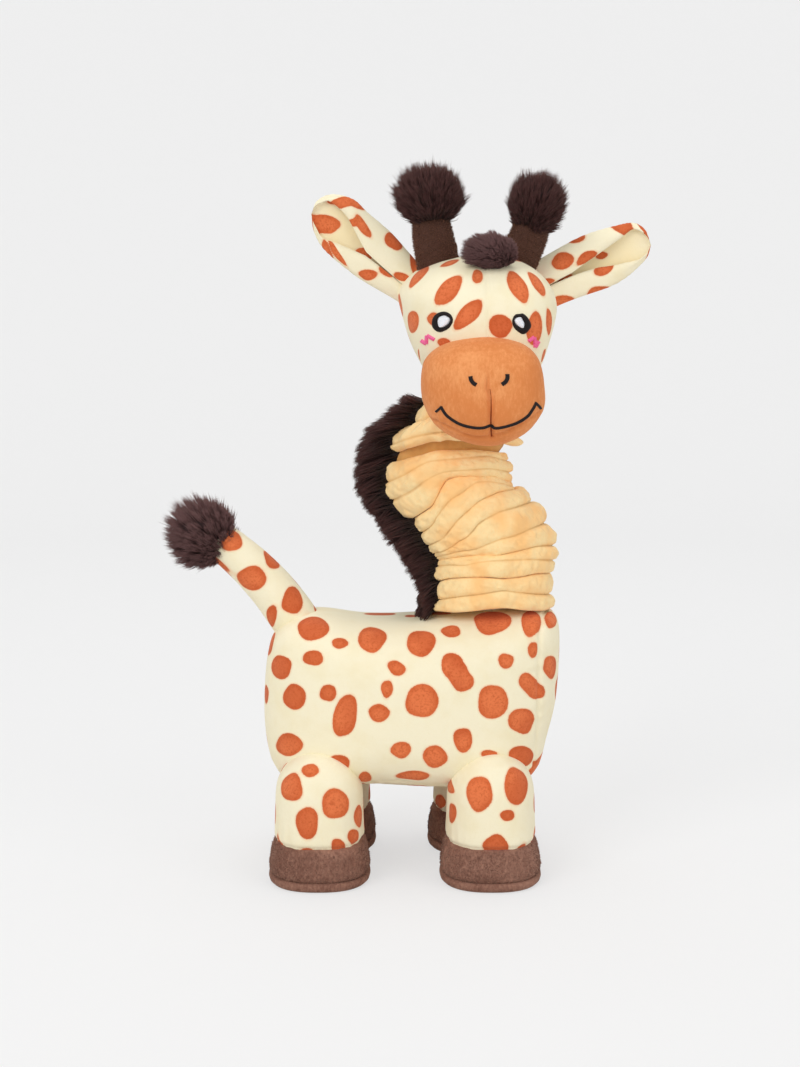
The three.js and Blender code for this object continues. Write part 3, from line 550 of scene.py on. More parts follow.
# Body: a pillow whose middle outline, in x and z, is the one seen from the side
bodySet = {
    "outline": [(-46.6, 127.6), (-24, 124.6), (4, 125), (38, 128), (62, 129), (71.4, 126.8), (73.6, 119),
                (73.6, 105), (72.9, 92), (71.4, 79), (68, 66), (65, 53), (59, 44.5), (45, 41.5), (10, 41.5),
                (-19.4, 43), (-45, 43), (-61, 44), (-67.6, 51), (-70.3, 59), (-72, 72), (-72, 88),
                (-70.6, 104), (-67.6, 116), (-60.5, 124.3)],
    "centre": (0, 86), "halfWidth": 39.5, "squareness": 2.7,
    "neck": (40, 0, 126), "tail": (-57, 0, 123), "bellyZ": 51,  # held while the cloth swells
    "neckHeld": 30, "tailHeld": 15, "seamHeld": 5,
    "chestSeam": [(546, 604), (541, 630), (539.5, 660), (539, 700), (537, 735), (533, 768), (520, 778)],
    "bellySeam": [(520, 778), (470, 780), (441, 785), (419, 784), (393, 781.5), (364, 783), (310, 784),
                  (272, 780), (262, 765)],
    "spots": [(313, 626, 32, 23), (340, 643, 16, 11), (313, 658, 21, 15), (280, 667, 21, 24),
              (294, 697, 23, 26), (328, 693, 17, 17, 30), (345, 716, 24, 43, -12), (288, 745, 27, 23),
              (372, 638, 28, 26), (380, 614, 32, 9), (411, 616, 13, 6), (439, 613, 24, 9),
              (421, 642, 29, 26), (451, 631, 19, 12), (492, 620, 38, 24), (531, 620, 20, 23),
              (552, 618, 12, 18), (533, 650, 10, 16), (506, 661, 16, 15), (452, 665, 22, 25),
              (457.5, 673, 21, 22), (463, 681, 21, 22), (396.5, 668, 19, 14, -30), (387, 689, 12, 18),
              (379, 713, 21, 18), (422, 701, 34, 33), (493, 702, 31, 34), (526.5, 681, 16, 16),
              (532, 686.5, 16, 15), (537.5, 692, 17, 15),
              (522, 721, 26, 26), (551, 667, 13, 24), (463, 740, 19, 25), (401, 750, 20, 17),
              (435, 757, 24, 23), (489, 754, 17, 8), (522, 757, 25, 22), (413, 776, 34, 9),
              (396, 785, 30, 9), (365, 778, 13, 12), (266, 694, 11, 18), (265, 724, 9, 19),
              (338, 765, 23, 20)],
    "fill": {"seed": 11, "radius": (4.5, 8.5), "gap": 4.2, "facing": 0.12},
    "puff": {"voxel": 4, "pressure": 4, "stiffness": 12, "bending": 0.4, "cap": 3, "levels": 2},
    "seam": {"depth": 1.1, "width": 1.3, "gather": 9, "ripple": 0.35, "fade": 7},
}


# Level rings of a superellipse across the outline; under the centre they shrink by the power 0.7, for a flat belly
def pillowForm(settings, sides=96, rows=30):
    ring = smoothCurve(settings["outline"], sides, closed=True)
    centre = np.array(settings["centre"])
    turn = np.radians(np.linspace(-90, 90, rows + 2)[1:-1])
    rings = []
    for s, y in zip(squared(np.cos(turn), settings["squareness"]), squared(np.sin(turn), settings["squareness"])):
        flat = centre + (ring - centre) * s
        below = np.minimum(ring[:, 1] - centre[1], 0)
        flat[:, 1] = np.where(below < 0, centre[1] + below * s**0.7, flat[:, 1])
        rings.append(place(flat[:, 0], settings["halfWidth"] * y, flat[:, 1]))
    return np.array(rings)


# Line on a skin under a line in the picture
def lineOnSkin(tree, pixels, step=3):
    origin = Vector(viewSet["place"])
    count = max(2, int(len(pixels) * 30 / step))
    line = []
    for px, py in smoothCurve(pixels, count):
        hit = tree.ray_cast(origin, Vector(pixelRay(px, py)))[0]
        if hit is not None:
            line.append(np.array(hit))
    return np.array(line)


# A point or line on the other side of the toy's middle plane
def flipped(points):
    return points * flip + np.array([0, 2 * layoutShift[1], 0])


flip = np.array([1, -1, 1])


def makeBody(settings):
    body = putRings("bodySkin", pillowForm(settings))

    def held(points):
        flat = (points - layoutShift) / mm
        middle = np.exp(-(flat[:, 1] / settings["seamHeld"]) ** 2)
        belly = np.exp(-((flat[:, 2] - settings["bellyZ"]) / settings["seamHeld"]) ** 2)
        neck = np.linalg.norm(flat - settings["neck"], axis=1) < settings["neckHeld"]
        tail = np.linalg.norm(flat - settings["tail"], axis=1) < settings["tailHeld"]
        return np.maximum.reduce([0.9 * middle, 0.9 * belly, 1.0 * neck, 1.0 * tail])

    puff(body, held, settings["puff"])
    tree = treeOf(body)
    chest = lineOnSkin(tree, settings["chestSeam"])
    belly = lineOnSkin(tree, settings["bellySeam"])
    spots = spotsInPicture(tree, settings["spots"])
    spots += mirrored(spots, tree)
    for line in (chest, flipped(chest), belly, flipped(belly)):
        pressSeam(body, *toLine(pointsOf(body), line), settings["seam"])
    paintSpots(body, fillSpots(body, tree, spots, settings["fill"]), 1)
    label(body, "torso", ("body_side_right", "body_side_left", "body_belly_gusset", "body_filling"),
          ("print",))


makeBody(bodySet)
print("body ready")

# Legs: a dome about the hip on a tube that flares to the hoof, with the hoof and the sole as pieces of their own
legSet = {
    "half": (21.2, 24), "centreY": 27,
    "hipZ": 43, "seamZ": 21, "soleZ": 5,
    "flare": 3.6, "squareness": 2.4,
    "tube": (32, 38, 43), "dome": [12, 24, 36, 48, 60, 70, 78, 84],  # levels in mm, then degrees
    "held": (29, 23), "bandLow": (9, 6), "bandHigh": (18, 20), "round": 24, "hoofRound": 23,
    # Level from the hoof's seam or the sole's top and how far the ring stands in from the leg's own outline
    "foot": ((-3, 4), (-1.5, 1.8), (0.2, 0.7), (2, 0.3), (6, 0.2)),
    "hoofLow": ((-1.5, 5), (-0.2, 1.6), (0.8, 0.3), (3, -0.3), (7, -0.2)),
    "hoofHigh": ((-3, 0), (-1.2, 0.2), (-0.2, 1), (0.9, 3.4)),
    "sole": ((0, 5.2), (0, 3.4), (0.5, 1.6), (1.6, 0.5), (3, 0.1), (4.4, 0.3), (5, 1.3), (5, 3)),
    "hoofSeam": {"rear_right": 2.2, "rear_left": 2.2, "front_right": -2.72, "front_left": 0.6},  # turns about z
    "places": {"rear_right": (-44, -1), "rear_left": (-42, 1), "front_right": (39, -1), "front_left": (34, 1)},
    "spots": {
        "rear_right": [(310, 770, 17, 14), (290, 787, 22, 28), (336, 804, 27, 31), (307, 823, 23, 32),
                       (359, 816, 11, 22), (354, 837, 11, 16), (279, 847, 17, 21), (339, 849, 14, 17)],
        "front_right": [(479, 794, 26, 36), (518, 785, 24, 38), (507.5, 815.5, 15, 11), (452, 813, 9, 20),
                        (449, 783, 15, 20), (455, 767, 10, 10), (496, 847, 26, 22),
                        (534, 840, 11, 13), (537, 809, 7, 14)],
        "rear_left": [(368, 812, 9, 16)],
        "front_left": [(439, 802, 12, 15)],
    },
    "fill": {"radius": (4, 7.5), "gap": 4, "facing": 0.12},
    "puff": {"voxel": 3, "pressure": 4, "stiffness": 12, "bending": 0.4, "cap": 1.6, "levels": 2},
    "hoofPuff": {"voxel": 2.6, "pressure": 4, "stiffness": 15, "bending": 0.5, "cap": 1.2, "levels": 1},
    "seam": {"depth": 0.8, "width": 1.2, "gather": 7, "ripple": 0.3, "fade": 6},
    "hoofGroove": {"depth": 1.5, "width": 0.9, "gather": 5, "ripple": 0.35, "fade": 3},
}


# Half widths of the tube at a level: they flare by the square of the way down from the hip
def legHalf(settings, z):
    share = np.clip((settings["hipZ"] - z) / (settings["hipZ"] - settings["soleZ"]), 0, 1)
    flare = settings["flare"] * share**2
    return settings["half"][0] + flare, settings["half"][1] + 0.4 * flare


# Level ring of a superellipse round the leg's middle
def legRing(settings, name, z, a, b, sides=72):
    x, side = settings["places"][name]
    turn = np.linspace(0, 2 * np.pi, sides, endpoint=False)
    across = a * squared(np.cos(turn), settings["squareness"])
    along = b * squared(np.sin(turn), settings["squareness"])
    return place(x + across, side * settings["centreY"] + along, z)


def makeLeg(name, number, settings):
    hip, seam, sole = settings["hipZ"], settings["seamZ"], settings["soleZ"]
    x, side = settings["places"][name]
    middle = place(x, side * settings["centreY"], 0)

    def insetRings(levels, sides=72):
        rings = []
        for z, inset in levels:
            a, b = legHalf(settings, max(z, sole))
            rings.append(legRing(settings, name, z, a - inset, b - inset, sides))
        return rings

    def turnOf(points):
        return np.arctan2(points[:, 1] - middle[1], points[:, 0] - middle[0])

    def fade(points, ends):
        return smoothStep(ends[0] * mm, ends[1] * mm, points[:, 2])

    rings = insetRings([(seam + z, inset) for z, inset in settings["foot"]] + [(z, 0) for z in settings["tube"]])
    for angle in np.radians(settings["dome"]):
        a = settings["half"][0] * np.cos(angle)
        b = settings["half"][1] * np.cos(angle) ** 0.5
        rings.append(legRing(settings, name, hip + settings["half"][0] * np.sin(angle), a, b))
    skin = putRings("legSkin_" + name, rings)
    puff(skin, lambda p: fade(p, settings["held"]), settings["puff"])
    tree = treeOf(skin)
    spots = spotsInPicture(tree, settings["spots"][name])
    spots = fillSpots(skin, tree, spots, dict(settings["fill"], seed=20 + number))
    paintSpots(skin, spots, 20 + number)
    points = pointsOf(skin)
    pressSeam(skin, np.abs(points[:, 2] - (seam + 0.4) * mm), turnOf(points) * settings["round"] * mm,
              settings["seam"])

    levels = [(sole + z, inset) for z, inset in settings["hoofLow"]]
    band = putRings("hoofBand_" + name, insetRings(levels + [(seam + z, inset) for z, inset in settings["hoofHigh"]]))
    puff(band, lambda p: np.maximum(fade(p, settings["bandLow"]), fade(p, settings["bandHigh"])), settings["hoofPuff"])
    points = pointsOf(band)
    away = np.abs((turnOf(points) - settings["hoofSeam"][name] + np.pi) % (2 * np.pi) - np.pi)
    pressSeam(band, away * settings["hoofRound"] * mm, points[:, 2], settings["hoofGroove"])
    plate = putRings("hoofSole_" + name, insetRings(settings["sole"], 96))

    body, hoof = "leg_" + name, "hoof_" + name
    label(skin, body, (body + "_skin", body + "_filling"), ("print",))
    label(band, body, (hoof + "_band",), ("hoof",))
    label(plate, body, (hoof + "_sole",), ("hoof",))
    return band


hoofBands = {name: makeLeg(name, number, legSet) for number, name in enumerate(legSet["places"])}
print("legs ready")

# Tail: a soft tube on a bent line from the rump to the tuft
tailSet = {
    "line": [(-52, 115), (-58, 124.5), (-67.5, 137.6), (-78.9, 149.9), (-91, 160.5), (-95, 164)],
    "radii": [11.4, 11.8, 11.3, 10.5, 9.6, 8.4],
    "spots": [(232, 540, 21, 21), (272, 559, 22, 12, -45), (251, 579, 29, 24), (293, 600, 21, 27),
              (271, 617, 10, 22)],
    "fill": {"seed": 34, "radius": (3.5, 6), "gap": 3.5, "facing": 0.1},
    "puff": {"voxel": 2.5, "pressure": 3, "stiffness": 15, "bending": 0.5, "cap": 0.8, "levels": 2},
}


# Rings square to a line in x and z, with a radius for each of its points
def tubeRings(line, radii, sides=48, count=40, y=0):
    path = smoothCurve(np.column_stack([line, radii]), count)
    centre = path[:, :2]
    along = unitOf(np.gradient(centre, axis=0))
    turn = np.linspace(0, 2 * np.pi, sides, endpoint=False)
    out, depth = np.cos(turn), np.sin(turn)
    x = centre[:, :1] + path[:, 2:] * along[:, 1:] * out
    z = centre[:, 1:] - path[:, 2:] * along[:, :1] * out
    return place(x, y + path[:, 2:] * depth, z)


def makeTail(settings):
    tail = putRings("tailSkin", tubeRings(settings["line"], settings["radii"]))
    root = place(*bodySet["tail"])
    puff(tail, lambda p: (np.linalg.norm(p - root, axis=1) < 14 * mm) * 1.0, settings["puff"])
    tree = treeOf(tail)
    spots = spotsInPicture(tree, settings["spots"])
    paintSpots(tail, fillSpots(tail, tree, spots, settings["fill"]), 31)
    label(tail, "tail", ("tail_skin", "tail_filling"), ("print",))


makeTail(tailSet)
print("tail ready")

# Neck sleeve: rings run along the grooves between the ribs, each groove traced in the picture from left to right
neckSet = {
    "halfDepth": 24,
    "underMane": 6,  # picture pixels that the sleeve goes on under the mane
    "grooves": [
        [(429, 611), (451, 613), (471, 612), (489, 610), (508, 609), (528, 611), (547, 611), (553, 608)],
        [(440, 600), (461, 596.5), (482, 594), (502, 590.6), (515, 592), (534, 594), (547, 594.5)],
        [(441, 581), (451, 578.5), (471, 577.4), (489, 577.4), (505, 578.5), (521, 576.6), (535, 573.4), (546, 572.5)],
        [(438, 566), (451, 565), (464, 565.5), (476, 563), (492, 561), (508, 560.3), (528, 559.5), (552, 560)],
        [(436, 560), (448, 558), (466, 556), (482, 556), (499, 556), (510, 554), (519, 552), (528, 550), (540, 547),
         (556, 546)],
        [(435, 557), (448, 554), (460, 551), (471, 550), (480, 547.5), (489, 544), (499, 540), (515, 536), (527, 531),
         (544, 524)],
        [(434.5, 553), (447, 549.5), (459, 541.5), (467, 537), (473, 530.6), (479.5, 523), (488.4, 517.6), (501, 511.4),
         (514, 508), (530, 503)],
        [(429, 545), (442, 539), (450, 530), (459, 519), (469, 510), (479.5, 501), (492, 495), (499, 492.5),
         (513, 491)],
        [(423, 532), (432, 525.5), (437.4, 516.5), (444, 507.6), (451.4, 499.3), (461.6, 493), (469.3, 487.2),
         (477, 482.5), (490, 482), (502, 484), (513, 487)],
        [(410, 517), (422, 510.8), (431, 505), (436, 497.4), (440, 488.5), (446.3, 480.8), (456.5, 477.5),
         (469.3, 477.3), (480.8, 478.3), (494.8, 477.3), (502.4, 479.5), (512, 484)],
        [(395, 499), (412, 490.4), (427, 479.5), (437.4, 474.4), (449, 471.3), (469, 470), (488, 468.7), (502, 470.6),
         (509, 473)],
        [(388, 481.5), (405.5, 473.8), (421, 465), (431, 461.7), (449, 460), (470, 458), (490, 457), (507, 462)],
        [(384, 462), (399, 459), (418, 456), (435, 453), (452, 452), (470, 452), (488, 452), (512, 454)],
        [(387, 452), (400, 448), (418, 444), (435, 441.5), (452, 441), (470, 441), (490, 441.5), (518, 444)],
        [(394, 444), (404, 440), (418, 436), (435, 433), (455, 431), (475, 431), (495, 432), (518, 437)],
        [(420, 424), (428, 419), (442, 414), (460, 412), (480, 412), (498, 414), (512, 424)],
        [(430, 404), (438, 400), (452, 397), (470, 396), (490, 397), (512, 404)],
        [(440, 386), (449, 382), (462, 380), (480, 380), (496, 382), (508, 386)],
    ],
    "press": [1.5, 0, 0, 0, 2.4, 0.6, 0, 0, 0, 3, 0, 1, 6.5, 7, 0.5, 0.4, 1, 1],
    "swell": 0.24,      # how far a rib stands out, as a share of the gap between its grooves
    "mostSwell": 2,
    "edge": 0.9,        # how much more it stands out at the two outlines
    "lift": {12: 0.02, 13: 1.9, 14: 1.3},      # ribs that stand out more or less than the rest
    "lumps": {13: 0.55, 14: 0.6},
    "level": (13,),      # ribs that stand out level, not along their slope
    "cuts": [0, 2, 9, 13, 17],
    "sides": 224,
    "rows": 14,
    "nap": 0.19,
    "uneven": (0.22, 0.014), "lumpSize": 0.009,        # share of a rib's height, lengths of the waves in metres
    "wrinkles": (0.2, 0.005), "dents": (0.45, 0.013),  # mm, lengths in metres
    "back": 0.3,  # share of the front's waves that the back takes
    "fill": 0.3,
    "spans": [
        ("torso", "neck_lower", (491, 606), (490, 583), "lower"),
        ("neck_lower", "neck_middle", (487.7, 570.4), (464.3, 496), None),
        ("neck_middle", "neck_upper", (453.2, 480), (448.2, 454), "middle"),
        ("neck_upper", "neck_knot", (455, 442), (460, 391), "upper"),
    ],  # two bodies, start and end of the blend in the picture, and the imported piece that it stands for
}


# One groove as a ring: front half from the picture, back half on the chord with a part of the front's waves
def grooveRing(pixels, settings):
    sides = settings["sides"]
    pixels = np.asarray(pixels, float)
    pixels = np.concatenate([[pixels[0] + (-settings["underMane"], 1)], pixels])
    turn = np.linspace(0, 2 * np.pi, sides, endpoint=False)
    share = (1 + np.cos(turn)) / 2
    curve = smoothCurve(pixels, 200)
    even = np.linspace(0, 1, 200)
    px = np.interp(share, even, curve[:, 0])
    py = np.interp(share, even, curve[:, 1])
    ends = curve[0] + (curve[-1] - curve[0]) * share[:, None]
    depth = -settings["halfDepth"] * np.sin(turn)
    behind = depth > 0
    px = np.where(behind, ends[:, 0] + settings["back"] * (px - ends[:, 0]), px)
    py = np.where(behind, ends[:, 1] + settings["back"] * (py - ends[:, 1]), py)
    ring = atPixel(px, py, depth * np.where(behind, 0, 1))
    ring[:, 1] = layoutShift[1] + depth * mm
    return ring


# Unit vectors without their height
def levelWay(vectors):
    return unitOf(vectors * np.array([1, 1, 0]))


# Whole sleeve as one grid: between two grooves a rib swells by relief * sin(pi s)^0.4 along the skin's normal
def neckGrid(settings):
    rings = []
    for pixels, press in zip(settings["grooves"], settings["press"]):
        ring = grooveRing(pixels, settings)
        rings.append(ring - levelWay(ring - ring.mean(0)) * press * mm)
    rows, relief = [], []
    for number in range(len(rings) - 1):
        low, high = rings[number], rings[number + 1]
        gap = np.linalg.norm(high - low, axis=1)
        around = np.roll(low + high, -1, axis=0) - np.roll(low + high, 1, axis=0)
        outward = np.cross(high - low, around)
        if number in settings["level"]:
            outward[:, 2] *= 0.2
        outward = unitOf(outward)
        side = np.abs(np.cos(np.linspace(0, 2 * np.pi, settings["sides"], endpoint=False))) ** 5
        lift = settings["lift"].get(number, 1)
        rise = np.minimum(settings["swell"] * gap, settings["mostSwell"] * mm)
        rise *= lift + settings["edge"] * side * (lift == 1)
        middle = (low + high) / 2
        uneven = 1 + settings["uneven"][0] * waves(middle, settings["uneven"][1], 40 + number)
        uneven += settings["lumps"].get(number, 0) * waves(middle, settings["lumpSize"], 60 + number)
        for s in np.linspace(0, 1, settings["rows"], endpoint=False):
            swell = np.sin(np.pi * s) ** 0.4
            flat = low + (high - low) * s
            rows.append(flat + outward * (rise * uneven * swell)[:, None])
            # A rib that stands out less than a tenth gets relief -1: it is the sunken pocket under the head, which the
            # corduroy material fills with painted shade
            relief.append(swell * np.clip(gap / (5 * mm), 0.25, 1) if lift > 0.1 else -np.ones(settings["sides"]))
    rows.append(rings[-1])
    relief.append(np.zeros(settings["sides"]))
    return np.array(rows), np.array(relief)


# Ends of a stretch of the sleeve are rolled in and closed
def rolledEnds(rows, relief):
    low, high = rows[0].mean(0), rows[-1].mean(0)
    along = unitOf(high - low)
    before = [low + (rows[0] - low) * s + along * t * mm for s, t in ((0.7, 2), (0.93, 0.8))]
    after = [high + (rows[-1] - high) * s - along * t * mm for s, t in ((0.93, 0.8), (0.7, 2))]
    none = np.zeros((2, rows.shape[1]))
    return np.concatenate([before, rows, after]), np.concatenate([none, relief, none])


# Brushed pile: random heights, averaged over a few rows so that the fibres run across the ribs
def napOf(shape, source):
    height = source.normal(0, 1, shape)
    for axis, shares in ((0, (0.3, 0.4, 0.3)), (0, (0.3, 0.4, 0.3)), (1, (0.2, 0.6, 0.2))):
        height = sum(share * np.roll(height, step, axis) for share, step in zip(shares, (-1, 0, 1)))
    return height / height.std()


def makeNeck(settings):
    rows, relief = neckGrid(settings)
    wrinkles, dents = (settings[kind][0] * waves(rows.reshape(-1, 3), settings[kind][1], seed).reshape(relief.shape)
                       for kind, seed in (("wrinkles", 50), ("dents", 51)))
    fine = wrinkles + dents * np.clip(relief, 0, 1)
    fine += settings["nap"] * napOf(relief.shape, np.random.default_rng(52)) * np.clip(relief, 0.1, 1)
    rows = rows + unitOf(rows - rows.mean(1, keepdims=True)) * fine[..., None] * mm
    pieces = []
    for number, (below, above, start, end, word) in enumerate(settings["spans"]):
        first, last = (settings["cuts"][number + k] * settings["rows"] for k in (0, 1))
        part, partRelief = rolledEnds(rows[first:last + 1], relief[first:last + 1])
        piece = putRings("neckSleeve_" + str(number + 1), part)
        setAttribute(piece, "relief", np.concatenate([partRelief.ravel(), [0, 0]]))
        ends = [tuple(atPixel(*point, 0)) for point in (start, end)]
        nodes = ("neck_sleeve_" + word,) if word else ()
        label(piece, None, nodes, ("corduroy",))
        pieces.append((piece, below, above, *ends))
    return rows, pieces


neckRows, neckPieces = makeNeck(neckSet)
print("neck ready")

# Head, muzzle, ears and horns. The head's own frame is turned about +Z and stands over its own floor point
headSet = {
    "place": (31, -8), "yaw": 7,
    "outline": [(398.5, 293.6), (403, 315), (409.8, 337.8), (414.5, 349.8), (421, 362), (430, 378), (447, 392),
                (480, 398), (513, 392), (531, 378), (540, 362), (543.7, 351), (549, 333.7), (552.4, 320.4),
                (554.6, 305.6), (550.5, 290), (541, 276), (528.5, 266), (511, 258.5), (485, 255.5), (457, 257),
                (435, 261.5), (418, 269.5), (405, 281.5)],
    "planeY": -8, "halfDepth": 37, "squareness": (2.35, 2.35), "sides": 96, "rings": 32,
    "spots": [(418.5, 275, 28, 13, 46), (450, 262.6, 19, 8, 20), (448.3, 289.5, 36, 18, 50), (477.4, 276, 11, 14),
              (518, 285.5, 35, 16, -60), (537.5, 283, 28, 9, -56), (468, 314.5, 39, 17, 46), (412.2, 322.4, 15, 23),
              (433, 319, 12, 13), (443.5, 342.5, 13, 9), (500.5, 326, 24, 23), (535, 329, 16, 33, -4),
              (549.5, 322.5, 7, 27), (543.7, 355.4, 6, 14, -15), (419, 355.4, 4, 14, 10), (411, 346, 5, 14, 10)],
    "seam": [(484.5, 248), (484, 268), (485, 300), (486.5, 338)],
    "fill": {"seed": 61, "radius": (4.5, 8), "gap": 4, "facing": 0.1},
    "puff": {"voxel": 3, "pressure": 4, "stiffness": 14, "bending": 0.5, "cap": 1.8, "levels": 2},
    "groove": {"depth": 0.7, "width": 0.9, "gather": 8, "ripple": 0.15, "fade": 4},
}
muzzleSet = {
    "outline": [(423.5, 364), (421.5, 380), (422.5, 398), (428.5, 415), (438.5, 428), (452, 437), (468, 443),
                (489, 446), (508, 441.5), (525, 432), (537, 418), (543.5, 404), (543, 387), (540.5, 368),
                (536, 356), (526, 345.5), (508.6, 338.5), (491, 335.8), (473.7, 336.3), (453, 340.5),
                (438.5, 347), (428, 356)],
    "planeY": -38, "halfDepth": 25.5, "squareness": (2.7, 2.3), "sides": 80, "rings": 28,
    "centreSeam": [(486.5, 352), (487, 372), (487.5, 388), (490.5, 398), (491.4, 418), (491.8, 438)],
    "chinSeam": [(431, 419), (451, 428.5), (468.4, 436), (481.8, 437.5), (500.5, 434.5), (526, 422), (540, 412)],
    "puff": {"voxel": 2.6, "pressure": 4, "stiffness": 14, "bending": 0.5, "cap": 1.4, "levels": 2},
    "chinGroove": {"depth": 0.9, "width": 1, "gather": 6, "ripple": 0.25, "fade": 4},
    "centreGroove": {"depth": 2.1, "width": 1.3, "gather": 9, "ripple": 0.15, "fade": 5},
    "centreMark": (1.1, 0.5), "chinMark": (1, 0.45),  # reach in mm and strength of the darker seam
}


def inHead(x, y, z):
    turn = np.radians(headSet["yaw"])
    across = headSet["place"][0] + x * np.cos(turn) - y * np.sin(turn)
    depth = headSet["place"][1] + x * np.sin(turn) + y * np.cos(turn)
    return place(across, depth, z)


# Rings across an outline in the picture, from behind its plane to the front, that close by two superellipse powers
def faceForm(name, settings):
    outline = smoothCurve(settings["outline"], settings["sides"], closed=True)
    ring = atPixel(outline[:, 0], outline[:, 1], settings["planeY"])
    centre = ring.mean(0)
    front = unitOf(inHead(0, -1, 0) - inHead(0, 0, 0))
    rings = []
    for lift in np.radians(np.linspace(-90, 90, settings["rings"] + 2)[1:-1]):
        shrink = squared(np.cos(lift), settings["squareness"][0])
        reach = settings["halfDepth"] * squared(np.sin(lift), settings["squareness"][1])
        rings.append(centre + (ring - centre) * shrink + front * reach * mm)
    return putRings(name, rings), centre


def makeHead(settings):
    head, _ = faceForm("headSkin", settings)
    middle = inHead(0, 0, 0)
    across = unitOf(inHead(1, 0, 0) - middle)
    puff(head, lambda p: 0.9 * np.exp(-((p - middle) @ across / mm / 5) ** 2), settings["puff"])
    tree = treeOf(head)
    spots = spotsInPicture(tree, settings["spots"])
    points = pointsOf(head)
    pressSeam(head, np.abs((points - middle) @ across), points[:, 2] - points[:, 1], settings["groove"])
    paintSpots(head, fillSpots(head, tree, spots, settings["fill"]), 61)
    nodes = ("head_skin_right", "head_skin_left", "head_filling")
    return label(head, "head", nodes, ("print",))


def makeMuzzle(settings):
    muzzle, centre = faceForm("muzzleSkin", settings)
    puff(muzzle, lambda p: 0.8 * smoothStep(-14 * mm, -19 * mm, p[:, 2] - centre[2]), settings["puff"])
    tree = treeOf(muzzle)
    middle = lineOnSkin(tree, settings["centreSeam"], 2)
    chin = lineOnSkin(tree, settings["chinSeam"], 2)
    pressSeam(muzzle, *toLine(pointsOf(muzzle), chin), settings["chinGroove"])
    distance, along = toLine(pointsOf(muzzle), middle)
    total = along.max()
    distance = distance + (1 - smoothStep(0, 0.5 * total, along)) * 3 * mm
    pressSeam(muzzle, distance, along, settings["centreGroove"])
    points = pointsOf(muzzle)
    marks = []
    for line, (reach, strength) in ((middle, settings["centreMark"]), (chin, settings["chinMark"])):
        marks.append(strength * np.exp(-(toLine(points, line)[0] / (reach * mm)) ** 2))
    marks[0] *= smoothStep(0.35 * total, 0.85 * total, along)
    setAttribute(muzzle, "seam", np.maximum(*marks))
    return label(muzzle, "head", ("muzzle_skin", "muzzle_filling"), ("muzzle",))


headSkin = makeHead(headSet)
muzzleSkin = makeMuzzle(muzzleSet)
print("head and muzzle ready")

# Ears: a leaf of sewn plush whose two long sides fold forward over it, meeting near the root
earSet = {
    "right": {
        "top": [(6, 293), (2.2, 297), (-9.6, 310.1), (-20.5, 319.4), (-27.5, 325.9), (-37.5, 328.4), (-44.5, 325.5),
                (-47.3, 319.5)],
        "bottom": [(-3, 277), (-6.3, 279.5), (-13.5, 283.8), (-23, 289.4), (-31.5, 295.5), (-41.4, 304), (-46, 312),
                   (-47.3, 319.5)],
        "share": [0, 0.25, 0.42, 0.55, 0.68, 0.8, 0.9, 1],
        "lowerFlap": [0.36, 0.38, 0.38, 0.3, 0.2, 0.1, 0, 0],
        "upperFlap": [0.36, 0.4, 0.44, 0.6, 0.74, 0.86, 1, 1],
        "y": 1,
        "spots": [(341, 203, 20, 15, -30), (358, 205, 15, 7, -45), (326, 224, 28, 19, -30), (353, 223, 10, 9),
                  (363, 227, 30, 8, -66), (364, 253, 17, 12, -20), (394, 242, 21, 15, -45), (336, 254, 32, 6, -40),
                  (368, 275, 17, 12, -15), (387, 272, 18, 6, -45), (401, 276, 18, 8)],
        "seed": 71,
    },
    "left": {
        "top": [(55, 292), (59.2, 295.5), (71.4, 302.6), (83.2, 308.7), (97.8, 313.3), (107.2, 315), (113, 311.5),
                (115.5, 304.9)],
        "bottom": [(66, 273), (69.4, 276.2), (81.2, 281), (95.9, 286.1), (104, 290.5), (110, 295.5), (114, 300),
                   (115.5, 304.9)],
        "share": [0, 0.3, 0.5, 0.7, 0.82, 0.92, 1],
        "lowerFlap": [0.44, 0.42, 0.38, 0.26, 0.14, 0, 0],
        "upperFlap": [0.44, 0.48, 0.6, 0.76, 0.92, 1, 1],
        "y": 3,
        "spots": [(562, 261, 23, 17, 15), (586, 258, 24, 10, 38), (602, 255, 12, 8, 20), (565, 278, 17, 6, 30),
                  (548, 282, 14, 6), (605, 268, 23, 14, 10), (626, 231, 14, 12), (647, 236, 13, 18),
                  (652, 238, 10, 14), (632, 273, 10, 11, -20)],
        "seed": 72,
    },
    "thickness": 2, "curl": 2.3, "curlDrop": 0.75,
    "wave": (0.3, 9, 4),   # height in mm, turns along and across in radians
    "paintedHollowLight": 0.62,          # share of the front that takes the painted warm bounce light of the hollow
    "fill": {"radius": (4, 7), "gap": 4, "facing": 0.0, "thin": 20},  # thin: mm added to gaps through the leaf
}


# Leaf section: from the lower flap's edge round the bottom, across the back, round the top to the upper flap's edge
def earSection(width, lower, upper, curl, count=72):
    r = min(2.8, width / 6)
    low = max(lower * width, 0.9 * r)
    high = min(upper * width, width - 0.9 * r)
    corners = [(low, -curl), (low / 2 + 0.3 * r, -curl - 0.5), (0.6 * r, -0.75 * curl), (0, 0), (0.7 * r, 0.8 * curl),
               (0.3 * width, curl + 0.5), (0.5 * width, curl + 0.8), (0.7 * width, curl + 0.5),
               (width - 0.7 * r, 0.8 * curl), (width, 0), (width - 0.6 * r, -0.8 * curl),
               ((width + high) / 2 - 0.3 * r, -curl - 0.9), (high, -curl - 0.5)]
    return smoothCurve(corners, count)


